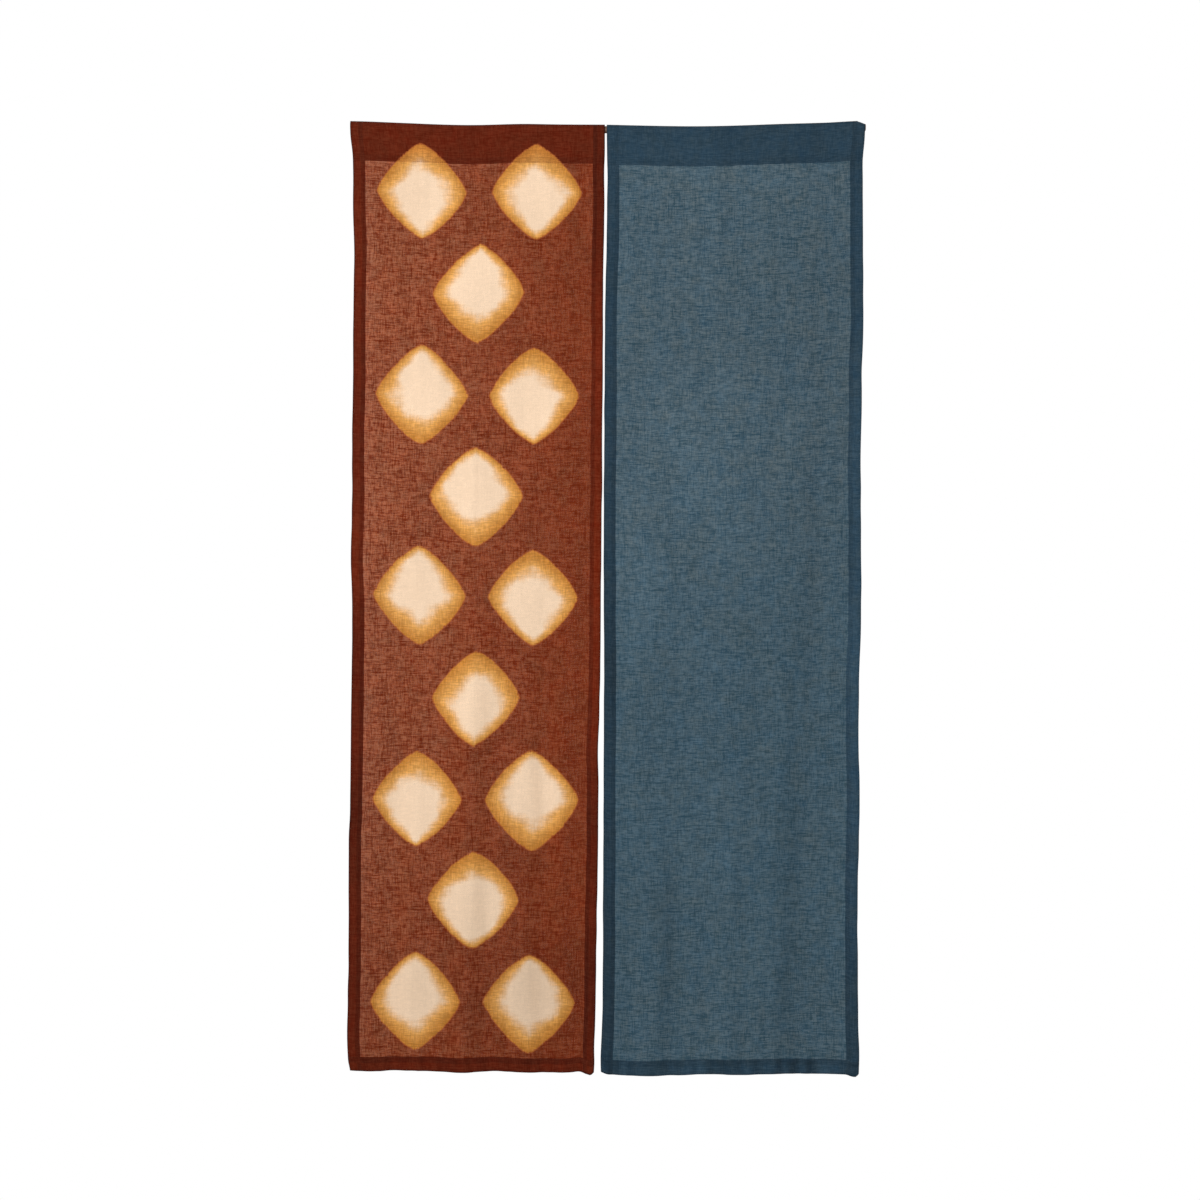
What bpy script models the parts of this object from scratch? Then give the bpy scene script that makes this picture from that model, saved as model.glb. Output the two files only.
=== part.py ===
"""Two-panel noren curtain hanging from a thin wooden rod.

Frame: metres, +Z up, +X to the right and the front of the cloth facing -Y. The origin is on the rod's
axis, halfway along it. Each panel is one closed solid: a thin sheet that rises in front of the rod, goes
over it and comes down behind it to a stitch line, with side hems and a bottom hem folded to its back.
"""
from collections import namedtuple
from math import pi

import bpy
import numpy as np

# ---------------------------------------------------------------- driving dimensions
ROD_LENGTH = 0.805
ROD_RADIUS = 0.0055
ROD_SIDES = 20
ROD_STATIONS = 41
ROD_END_BEVEL = 0.0008

CLOTH_THICKNESS = 0.0012
HEM_EXTRA = 0.0014            # what the folded layers of a hem add behind the sheet
LEDGE = 0.0011                # how far the heading's back layer stands behind what it is sewn to
POCKET_CLEARANCE = 0.0005     # between the rod and the cloth around it
POCKET_SEAM_RISE = 0.003      # the pocket closes this far above the stitch line
SIDE_HEM = 0.020
HEM_STEP = 0.0010             # width of the slope where a hem's fold ends
BOTTOM_HEM = 0.023
CUT_START = 0.0045            # a cut-back heading corner starts this far above the rod's axis
CUT_HEIGHT = 0.0050           # and is cut back by its whole length this much higher

SHEET_ROWS = 19               # rows of faces between the bottom hem and the heading
WALL_ROWS = 4                 # rows of faces up each straight wall of the heading
CROWN_STEPS = 8               # faces over the rod
MIDDLE_COLUMNS = 24           # columns of faces between the two side hems
HEM_COLUMNS = [0.0, 0.18, 0.42, 0.70, 1.0]      # shares of a side hem's width, from the panel's edge
HEM_ROWS = [0.0, 0.45, 1.0]                     # shares of the bottom hem's height
FOLD_GROWTH = 1.25            # a fold is full grown before the bottom hem, this many times as soon
SHARP_ANGLE = 40 * pi / 180   # edges sharper than this keep a crisp shade

# How the rod bends: its axis at places along it, as a rise above the origin.
RodPoint = namedtuple("RodPoint", "along rise")
ROD_LINE = [
    RodPoint(-0.4025, 0.0053),
    RodPoint(-0.330, 0.0030),
    RodPoint(-0.220, -0.0001),
    RodPoint(-0.130, 0.0009),
    RodPoint(0.000, 0.0000),
    RodPoint(0.150, -0.0018),
    RodPoint(0.280, 0.0010),
    RodPoint(0.4025, 0.0037),
]

# Side edges of a panel: how far below the rod, and where its left and right edges are there.
Side = namedtuple("Side", "drop left right")
# Top and bottom edges: a place across the panel (0 at its left edge, 1 at its right) and a height there.
Top = namedtuple("Top", "across rise")          # rise above cloth that lies close on the rod
Bottom = namedtuple("Bottom", "across drop")    # drop below the rod
# A soft vertical fold: its middle across the panel at its start and at the bottom hem, its half width,
# how far it comes forward (+) or goes back (-) at the bottom hem, and how far below the rod it starts.
Fold = namedtuple("Fold", "across_start across_end half_width forward start")
Panel = namedtuple("Panel", "name heading sides top bottom folds cut_corner material")

LEFT = Panel(
    name="panel_left",
    heading=0.0605,
    sides=[
        Side(-0.014, -0.3998, -0.0044),
        Side(0.007, -0.4000, -0.0042),
        Side(0.044, -0.3964, -0.0056),
        Side(0.187, -0.3946, -0.0072),
        Side(0.436, -0.3971, -0.0078),
        Side(0.685, -0.3992, -0.0104),
        Side(0.872, -0.3988, -0.0123),
        Side(1.183, -0.4027, -0.0171),
        Side(1.320, -0.4036, -0.0186),
        Side(1.432, -0.4045, -0.0213),
        Side(1.470, -0.4035, -0.0232),
    ],
    top=[Top(0.00, 0.0008), Top(0.06, 0.0010), Top(0.20, 0.0005), Top(0.50, 0.0000), Top(0.68, 0.0007),
         Top(0.80, 0.0001), Top(1.00, 0.0004)],
    bottom=[Bottom(0.00, 1.4590), Bottom(0.025, 1.4640), Bottom(0.09, 1.4655), Bottom(0.20, 1.4645),
            Bottom(0.40, 1.4660), Bottom(0.58, 1.4650), Bottom(0.76, 1.4675), Bottom(0.945, 1.4650),
            Bottom(0.972, 1.4690), Bottom(0.990, 1.4700), Bottom(1.00, 1.4660)],
    folds=[
        Fold(0.50, 0.47, 0.062, 0.0090, 0.18),
        Fold(0.77, 0.79, 0.050, -0.0075, 0.35),
        Fold(0.20, 0.16, 0.055, -0.0065, 0.60),
        Fold(0.99, 0.98, 0.050, 0.0060, 0.25),
        Fold(0.01, 0.02, 0.045, 0.0050, 0.75),
    ],
    cut_corner=0.0,
    material="rust_linen",
)

RIGHT = Panel(
    name="panel_right",
    heading=0.0618,
    sides=[
        Side(-0.014, -0.0021, 0.3996),
        Side(0.003, -0.0019, 0.4000),
        Side(0.032, -0.0010, 0.3975),
        Side(0.187, -0.0015, 0.3967),
        Side(0.436, -0.0048, 0.3949),
        Side(0.685, -0.0064, 0.3936),
        Side(0.872, -0.0059, 0.3905),
        Side(1.183, -0.0076, 0.3880),
        Side(1.320, -0.0076, 0.3886),
        Side(1.432, -0.0104, 0.3905),
        Side(1.470, -0.0096, 0.3895),
    ],
    top=[Top(0.00, 0.0003), Top(0.10, 0.0000), Top(0.50, 0.0001), Top(0.70, 0.0009), Top(0.86, 0.0014),
         Top(0.95, 0.0026), Top(1.00, 0.0026)],
    bottom=[Bottom(0.00, 1.4640), Bottom(0.025, 1.4690), Bottom(0.12, 1.4725), Bottom(0.25, 1.4720),
            Bottom(0.40, 1.4695), Bottom(0.60, 1.4705), Bottom(0.80, 1.4700), Bottom(0.930, 1.4690),
            Bottom(0.965, 1.4715), Bottom(0.985, 1.4733), Bottom(1.00, 1.4670)],
    folds=[
        Fold(0.77, 0.72, 0.055, -0.0080, 0.42),
        Fold(0.29, 0.27, 0.040, -0.0060, 0.90),
        Fold(0.50, 0.48, 0.080, 0.0050, 0.60),
        Fold(0.99, 0.97, 0.060, 0.0060, 0.55),
        Fold(0.03, 0.04, 0.055, 0.0040, 0.30),
    ],
    cut_corner=0.012,
    material="indigo_linen",
)

# Looks of the plain solids: linear colour, roughness and metallic value.
Finish = namedtuple("Finish", "color roughness metallic")
FINISHES = {
    "rust_linen": Finish((0.20, 0.045, 0.021), 0.92, 0.0),
    "indigo_linen": Finish((0.070, 0.110, 0.150), 0.92, 0.0),
    "rod_wood": Finish((0.130, 0.072, 0.048), 0.55, 0.0),
}


# ---------------------------------------------------------------- curves and blends
def smooth_curve(places, values, at):
    """Cubic Hermite curve through (places, values), with the slope at each point from its neighbours."""
    places = np.asarray(places, dtype=float)
    values = np.asarray(values, dtype=float)
    slopes = np.gradient(values, places)
    at = np.clip(at, places[0], places[-1])
    i = np.clip(np.searchsorted(places, at, side="right") - 1, 0, len(places) - 2)
    span = places[i + 1] - places[i]
    t = (at - places[i]) / span
    start = (1 + 2 * t) * (1 - t) ** 2 * values[i] + t * (1 - t) ** 2 * span * slopes[i]
    end = t * t * (3 - 2 * t) * values[i + 1] + t * t * (t - 1) * span * slopes[i + 1]
    return start + end


def soft_step(x):
    """0 below 0, 1 above 1 and 3x^2 - 2x^3 between."""
    x = np.clip(x, 0.0, 1.0)
    return x * x * (3 - 2 * x)


def rod_height(x):
    """Height of the rod's axis at x."""
    return smooth_curve([p.along for p in ROD_LINE], [p.rise for p in ROD_LINE], x)


# ---------------------------------------------------------------- the sheet's own shape
def column_places(panel):
    """Places across the panel, 0 to 1, closer together in the side hems, with each column's hem depth.

    A hem column has hem depth 1, and the slope where the hem's fold ends lies between two columns.
    """
    width = panel.sides[0].right - panel.sides[0].left
    hem = np.array(HEM_COLUMNS) * SIDE_HEM / width
    inner = (SIDE_HEM + HEM_STEP) / width
    middle = np.linspace(inner, 1 - inner, MIDDLE_COLUMNS + 1)
    across = np.concatenate([hem, middle, 1 - hem[::-1]])
    in_hem = np.concatenate([np.ones(len(hem)), np.zeros(len(middle)), np.ones(len(hem))])
    return across, in_hem


def place_x(panel, across, drop):
    """x of a place across the panel at a drop below the rod, between its uneven left and right edges."""
    drops = [s.drop for s in panel.sides]
    left = smooth_curve(drops, [s.left for s in panel.sides], drop)
    right = smooth_curve(drops, [s.right for s in panel.sides], drop)
    return left + (right - left) * across


def fold_depth(panel, across, drop):
    """y of the hanging sheet: a sum of soft vertical folds that grow from their start to the bottom hem.

    Each fold is a bell, exp(-(distance / half width)^2), whose middle moves across as the cloth goes down.
    """
    low = panel.sides[-1].drop
    depth = np.zeros(np.broadcast(across, drop).shape)
    for fold in panel.folds:
        down = np.clip((drop - fold.start) / (low - fold.start), 0.0, 1.0)
        middle = fold.across_start + (fold.across_end - fold.across_start) * down
        bell = np.exp(-((across - middle) / fold.half_width) ** 2)
        depth = depth - fold.forward * soft_step(down * FOLD_GROWTH) * bell
    return depth


def side_pull(panel, across, height_over_rod):
    """How far x moves left near the top right corner, where the heading's corner is cut back.

    Only the last hem's width moves, squeezed towards its inner edge, and only cloth over the rod.
    """
    width = panel.sides[0].right - panel.sides[0].left
    in_corner = np.clip((across - 1) * width / SIDE_HEM + 1, 0.0, 1.0)
    over = np.clip((height_over_rod - CUT_START) / CUT_HEIGHT, 0.0, 1.0)
    return panel.cut_corner * in_corner * over


def build_panel(panel):
    """Vertices and faces of one panel.

    Every column of points is the same closed outline in a plane x = constant: up the front (F), over the
    rod (O), down to the ledge of the heading's back layer, down the back (B), and a second loop (I) round
    the inside of the rod pocket, whose two ends are one point. Faces join neighbouring columns, and the
    first and last columns are closed by strips between front and back and between outer and inner loop.
    """
    across, in_hem = column_places(panel)
    columns = len(across)
    rod_x = place_x(panel, across, 0.0)
    axis = rod_height(rod_x)
    crown = axis + ROD_RADIUS + POCKET_CLEARANCE + CLOTH_THICKNESS + smooth_curve(
        [t.across for t in panel.top], [t.rise for t in panel.top], across)
    bottom = -smooth_curve([b.across for b in panel.bottom], [b.drop for b in panel.bottom], across)
    seam = crown - panel.heading

    # rows of the single sheet, from the bottom edge to the seam
    hem_rows = np.array(HEM_ROWS) * (BOTTOM_HEM - HEM_STEP)
    over_hem = np.linspace(0.0, 1.0, SHEET_ROWS + 1)
    rows = np.concatenate([
        bottom[:, None] + hem_rows[None, :],
        bottom[:, None] + BOTTOM_HEM + (seam - bottom - BOTTOM_HEM)[:, None] * over_hem[None, :],
    ], axis=1)
    in_bottom_hem = np.concatenate([np.ones(len(hem_rows)), np.zeros(SHEET_ROWS + 1)])
    sheet_x = place_x(panel, across[:, None], -rows)
    sheet_y = fold_depth(panel, across[:, None], -rows)
    extra = HEM_EXTRA * np.maximum(in_hem[:, None], in_bottom_hem[None, :])
    half = CLOTH_THICKNESS / 2
    front = np.stack([sheet_x, sheet_y - half, rows], axis=-1)
    back = np.stack([sheet_x, sheet_y + half + extra, rows], axis=-1)

    # the heading: straight walls from the seam to the rod, and an arc over it, as (y, z) from its axis
    rise = (crown - axis)[:, None]
    seam_y = sheet_y[:, -1:]
    ledge_y = back[:, -1:, 1] + LEDGE
    outer_y, outer_z = heading_loop(
        ROD_RADIUS + POCKET_CLEARANCE + CLOTH_THICKNESS, rise, seam_y - half, ledge_y,
        (seam - axis)[:, None])
    closing = (seam - axis)[:, None] + POCKET_SEAM_RISE
    inner_y, inner_z = heading_loop(
        ROD_RADIUS + POCKET_CLEARANCE, rise - CLOTH_THICKNESS, seam_y + half, seam_y + half, closing)
    outer = heading_points(panel, across, axis, outer_y, outer_z)
    inner = heading_points(panel, across, axis, inner_y, inner_z)
    outer[:, 0] = front[:, -1]
    return stitch_columns(columns, front, back, outer[:, 1:], inner[:, :-1])


def heading_loop(radius, rise, front_y, back_y, low):
    """(y, z) of one loop round the rod, measured from its axis: front wall, arc over the rod, back wall.

    Each wall is a straight line from the seam to where it touches the circle of that radius. The arc is
    drawn round the circle, so that its faces touch the circle and its corners lie outside. Its top is
    stretched to rise, because a pressed crease stands a little higher than the rod would push it.
    """
    lean = np.arcsin(radius / -low)
    step = (pi + 2 * lean) / CROWN_STEPS
    arc_angle = pi + lean - step * np.arange(CROWN_STEPS + 1)[None, :]
    corner_radius = radius / np.cos(step / 2)
    arc_y = corner_radius * np.cos(arc_angle)
    arc_z = corner_radius * np.sin(arc_angle)
    arc_z = np.where(arc_z > 0, arc_z * rise / radius, arc_z)
    wall = (np.arange(WALL_ROWS) / WALL_ROWS)[None, :]
    front_wall_y = front_y + (arc_y[:, :1] - front_y) * wall
    front_wall_z = low + (arc_z[:, :1] - low) * wall
    back_wall_y = (back_y + (arc_y[:, -1:] - back_y) * wall)[:, ::-1]
    back_wall_z = (low + (arc_z[:, -1:] - low) * wall)[:, ::-1]
    y = np.concatenate([front_wall_y, arc_y, back_wall_y], axis=1)
    z = np.concatenate([front_wall_z, arc_z, back_wall_z], axis=1)
    return y, z


def heading_points(panel, across, axis, y, z):
    """Points of a heading loop in the part's frame."""
    x = place_x(panel, across[:, None], -(z + axis[:, None])) - side_pull(panel, across[:, None], z)
    return np.stack([x, y, z + axis[:, None]], axis=-1)


def stitch_columns(columns, front, back, over, inside):
    """Number the points column by column and join them: returns vertices and faces.

    over is the outer loop without its first point, which is the front's last, and inside is the pocket's
    loop without its last point, which is its first again.
    """
    sheet = front.shape[1]
    round_out = over.shape[1]
    round_in = inside.shape[1]
    per_column = 2 * sheet + round_out + round_in
    points = np.concatenate([front, over, back[:, ::-1], inside], axis=1).reshape(-1, 3)

    outline = np.arange(2 * sheet + round_out)
    pocket = np.arange(round_in) + 2 * sheet + round_out
    faces = []
    for c in range(columns - 1):
        here, there = c * per_column, (c + 1) * per_column
        for a, b in zip(outline, np.roll(outline, -1)):
            faces.append((here + a, there + a, there + b, here + b))
        for a, b in zip(pocket, np.roll(pocket, -1)):
            faces.append((here + b, there + b, there + a, here + a))

    # end strips: the sheet, the heading's wall, and the small joint where the pocket closes
    front_id = np.arange(sheet)
    outer_id = np.arange(sheet - 1, sheet + round_out)
    back_id = np.arange(2 * sheet + round_out - 1, sheet + round_out - 1, -1)
    pocket_id = np.append(pocket, pocket[0])
    strips = [(front_id, back_id), (outer_id, pocket_id)]
    for column, turned in ((0, False), (columns - 1, True)):
        base = column * per_column
        caps = []
        for one, other in strips:
            for k in range(len(one) - 1):
                caps.append((one[k], one[k + 1], other[k + 1], other[k]))
        caps.append((outer_id[0], pocket[0], back_id[-1]))
        caps.append((pocket[0], outer_id[-1], back_id[-1]))
        for cap in caps:
            ids = tuple(int(base + i) for i in cap)
            faces.append(ids[::-1] if turned else ids)
    return points, faces


# ---------------------------------------------------------------- the rod
def build_rod():
    """A round stick along the bent line: rings in planes x = constant, with a small bevel at each end."""
    half = ROD_LENGTH / 2
    along = np.linspace(-half + ROD_END_BEVEL, half - ROD_END_BEVEL, ROD_STATIONS)
    along = np.concatenate([[-half], along, [half]])
    radius = np.full(len(along), ROD_RADIUS)
    radius[[0, -1]] -= ROD_END_BEVEL
    turn = np.arange(ROD_SIDES) * 2 * pi / ROD_SIDES
    x = np.repeat(along[:, None], ROD_SIDES, axis=1)
    y = radius[:, None] * np.cos(turn)[None, :]
    z = rod_height(along)[:, None] + radius[:, None] * np.sin(turn)[None, :]
    points = np.stack([x, y, z], axis=-1).reshape(-1, 3)
    faces = []
    for s in range(len(along) - 1):
        for a in range(ROD_SIDES):
            b = (a + 1) % ROD_SIDES
            here, there = s * ROD_SIDES, (s + 1) * ROD_SIDES
            faces.append((here + a, here + b, there + b, there + a))
    faces.append(tuple(reversed(range(ROD_SIDES))))
    last = (len(along) - 1) * ROD_SIDES
    faces.append(tuple(last + a for a in range(ROD_SIDES)))
    return points, faces


# ---------------------------------------------------------------- objects and materials
def make_material(name):
    """A plain Principled BSDF with the piece's colour."""
    finish = FINISHES[name]
    material = bpy.data.materials.new(name)
    material.use_nodes = True
    shader = material.node_tree.nodes["Principled BSDF"]
    shader.inputs["Base Color"].default_value = (*finish.color, 1.0)
    shader.inputs["Roughness"].default_value = finish.roughness
    shader.inputs["Metallic"].default_value = finish.metallic
    material.diffuse_color = (*finish.color, 1.0)
    return material


def make_object(name, points, faces, material):
    """One closed mesh object, shaded smooth except at its sharp edges."""
    mesh = bpy.data.meshes.new(name)
    mesh.from_pydata(points.tolist(), [], [tuple(int(i) for i in face) for face in faces])
    mesh.validate()
    mesh.update()
    mesh.shade_smooth()
    mesh.set_sharp_from_angle(angle=SHARP_ANGLE)
    mesh.materials.append(material)
    obj = bpy.data.objects.new(name, mesh)
    bpy.context.scene.collection.objects.link(obj)
    return obj


def main():
    """Clear the scene and make the three pieces."""
    for obj in list(bpy.data.objects):
        bpy.data.objects.remove(obj, do_unlink=True)
    for panel in (LEFT, RIGHT):
        points, faces = build_panel(panel)
        make_object(panel.name, points, faces, make_material(panel.material))
    points, faces = build_rod()
    make_object("rod", points, faces, make_material("rod_wood"))


main()
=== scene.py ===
"""Looks of the two-panel noren curtain: sheer, hemmed linen hung on a thin wooden rod.

Frame: metres, +Z up, +X to the right and the front of the cloth facing -Y, with the origin on the rod's
axis. Each panel is one strip of cloth, a grid of points that follows its cut width one way and its cut
length the other, so that the side hems, the bottom hem and the heading are truly folded layers.
"""
from collections import namedtuple
from math import pi

import bpy
import numpy as np
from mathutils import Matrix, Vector


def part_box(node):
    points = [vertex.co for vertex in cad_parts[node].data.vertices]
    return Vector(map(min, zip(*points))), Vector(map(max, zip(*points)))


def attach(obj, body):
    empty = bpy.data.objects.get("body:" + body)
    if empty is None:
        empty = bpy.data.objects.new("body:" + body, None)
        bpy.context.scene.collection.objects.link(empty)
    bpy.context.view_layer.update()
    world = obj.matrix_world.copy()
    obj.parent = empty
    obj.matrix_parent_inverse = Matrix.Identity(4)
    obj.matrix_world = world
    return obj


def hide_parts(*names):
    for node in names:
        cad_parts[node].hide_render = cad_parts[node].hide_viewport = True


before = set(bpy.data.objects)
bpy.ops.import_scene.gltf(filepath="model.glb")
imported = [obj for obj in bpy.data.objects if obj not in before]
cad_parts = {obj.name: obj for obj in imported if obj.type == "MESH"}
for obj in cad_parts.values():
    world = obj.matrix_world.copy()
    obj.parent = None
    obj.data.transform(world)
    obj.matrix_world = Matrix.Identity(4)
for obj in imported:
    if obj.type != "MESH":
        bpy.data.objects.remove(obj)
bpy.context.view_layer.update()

# ---------------------------------------------------------------- sizes
rod_low, rod_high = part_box("rod")
ROD_LEFT = rod_low.x + 0.0020  # the cloth reaches past the solid's left end and hides it
ROD_RIGHT = rod_high.x - 0.0012
ROD_RADIUS = (rod_high.y - rod_low.y) / 2
ROD_SIDES = 48
ROD_STATIONS = 121
ROD_END_ROUND = 0.0009        # rounding of the rod's two ends
ROD_END_STEPS = 5
ROD_UNEVEN = 0.00006          # how far the whittled surface leaves the true round
WHITTLE_PITCH = 0.09          # how slowly it changes along the rod
WHITTLE_TURN = 3.0            # and how far it turns about the axis meanwhile, in radians
ROD_TIP = 0.000001            # radius of the last ring, which is as good as a point

CLOTH_THICKNESS = 0.00026
LAYER_GAP = 0.00034           # from the middle of one folded layer to the next
FRONT_SET = 0.0004            # the front layer's middle lies this far before the hang's own surface
ROD_CLEARANCE = 0.0001        # between the rod and the cloth on it
CROWN_STAND = 0.0021          # the pressed crease stands this far above the rod
CREASE_WIDTH = 0.55           # how sharp that crease is, as an angle about the rod's axis
SIDE_HEM = 0.019              # as cut, before a panel's own hems are drawn wider or narrower
SIDE_TURN = 0.0065            # what is turned in out of sight at a side hem
TURN_IN = 0.009               # and at the heading and the bottom hem
HEADING_LAYERS = 2.5          # what the heading turns in shows half as much as a hem's third layer
HEM_STREAK = 0.009            # pitch of the upright streaks along the bottom hem, painted light and shade of its puckers
HEM_SHADE = 0.0007            # width of the soft border between one layer and several
LAYER_SHADE = 0.0011          # and of the one where what is turned in begins
EDGE_SHADE = 0.0015           # how far the line of painted shade at a folded edge reaches
CROWN_SHADE = 1.3             # how much darker that painted shade is over the rod
HEADING_STREAK = 0.2          # how strong the streaks are in the heading, as a share of the hem's
DIM_LIT = 0.2                 # how much light from beside a seam is left where it is dim behind
STITCH_INSET = 0.0015         # a row of stitches lies this far inside a hem's fold
STACK_FADE = 0.006            # a hem's extra thickness dies out over this width
CUT_START = 0.0045            # a cut-back heading corner starts this far above the rod's axis
CUT_HEIGHT = 0.0050           # and is cut back by its whole length this much higher
FOLD_GROWTH = 1.25            # a fold is full grown before the bottom hem, this many times as soon
CREASE_FADE = 0.25            # the share of a crease in which it fades in, and out

FOLD_POINTS = 5               # points round a folded edge
HEADING_ROWS = 11             # rows up each wall of the heading
CROWN_ROWS = 15               # rows over the rod
BODY_ROWS = 226               # rows between the heading and the bottom hem
MIDDLE_COLUMNS = 84           # columns between the two side hems
NEAR_HEM = [0.0025, 0.0055, 0.009, 0.0130]      # closer columns beside a side hem, metres from it
IN_HEM = [0.0020, 0.0045, 0.0070, 0.0095]       # columns in one, metres from its folded edge
BEFORE_SEAM = 0.0152                            # and one beside its stitches
HEADING_LOW = 0.08            # rows up the heading's wall: one below the border of what is turned in
HEADING_FREE = 0.26           # and the first above it, as shares of the wall
HEM_FREE = [0.35, 0.15]       # rows of the bottom hem below what is turned in, as shares of its height

GATHER = 0.00038              # how far sewing draws the cloth in and out beside a seam
HEM_GATHER = 0.0013           # and over the whole height of the bottom hem
GATHER_PITCH = 0.010
GATHER_REACH = 0.009
EDGE_WAVER = 0.00035          # unevenness of the folded edges
EDGE_PITCH = 0.030
HEM_WAVER = 0.0005            # unevenness of a hem's width
HEM_PITCH = 0.060
SEAM_LIGHT_REACH = 0.008      # how far from a seam the cloth is drawn open and lets more light through
SOFT_RIPPLE = 0.00030         # height of the faint ripples all over the hanging cloth
RIPPLE_LENGTHS = (0.031, 0.044, 0.062, 0.085, 0.120)
RIPPLE_SLANT = 0.25           # the most that one moves aside as it goes down, in metres to the metre
# Each kind of unevenness draws its numbers from the panel's seed plus one of its own.
GATHER_SEED, EDGE_SEED, SIDE_HEM_SEED, SEAM_SEED, BOTTOM_HEM_SEED, STREAK_SEED = 10, 20, 30, 40, 41, 60

STITCH_PITCH = 0.0030
STITCH_LENGTH = 0.0024
THREAD_RADIUS = 0.00016
THREAD_SIDES = 5
THREAD_SUNK = 0.35            # how deep a stitch's ends lie in the cloth, in thread radii
THREAD_ARCH = 0.9             # and how high its middle rises from there
# A thread's rings: where they are along the stitch, from end to end, and how thick it is there.
THREAD_PLACES = [-1.0, -0.72, 0.0, 0.72, 1.0]
THREAD_FULLNESS = [0.0, 0.85, 1.0, 0.85, 0.0]

# How the rod bends: its axis at places along it, as a rise above the origin.
RodPoint = namedtuple("RodPoint", "along rise")
ROD_LINE = [
    RodPoint(-0.4025, 0.0053),
    RodPoint(-0.330, 0.0030),
    RodPoint(-0.220, -0.0001),
    RodPoint(-0.130, 0.0009),
    RodPoint(0.000, 0.0000),
    RodPoint(0.150, -0.0018),
    RodPoint(0.280, 0.0010),
    RodPoint(0.4025, 0.0037),
]

# Side edges of a panel: how far below the rod, and where its left and right edges are there.
Side = namedtuple("Side", "drop left right")
# Top and bottom edges: a place across the panel (0 at its left edge, 1 at its right) and its height.
Top = namedtuple("Top", "across rise")          # rise above cloth that lies close on the rod
Bottom = namedtuple("Bottom", "across drop")    # drop below the rod
# A soft vertical fold: its middle across the panel at its start and at the bottom hem, its half width,
# how far it comes forward (+) or goes back (-) at the bottom hem, and how far below the rod it starts.
Fold = namedtuple("Fold", "across_start across_end half_width forward start")
# A fine crease that starts and ends on the cloth: where it is across the panel and how far below the
# rod at its two ends, its half width in metres, and how far it comes forward or goes back.
Crease = namedtuple("Crease", "across_top across_low top low half_width forward")
# How light a panel's left and right hems are at a drop below the rod, 1 being the dye's own tone.
HemTone = namedtuple("HemTone", "drop left right")
# A soft place of painted light (+) or painted shade (-), such as soft folds and the fall of the light
# leave on the cloth: where it is across the panel and how far below the rod, its half width as a share
# of the panel, its half height in metres and how much lighter it is.
Tone = namedtuple("Tone", "across drop half_width half_height change")
# How bright the light behind the cloth is at a panel's left and right sides, at a drop below the rod.
Glow = namedtuple("Glow", "drop left right")
Panel = namedtuple("Panel", "name heading hem side_hems sides top bottom folds creases hem_tones tones"
                            " glows cut_corner seed")

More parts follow.
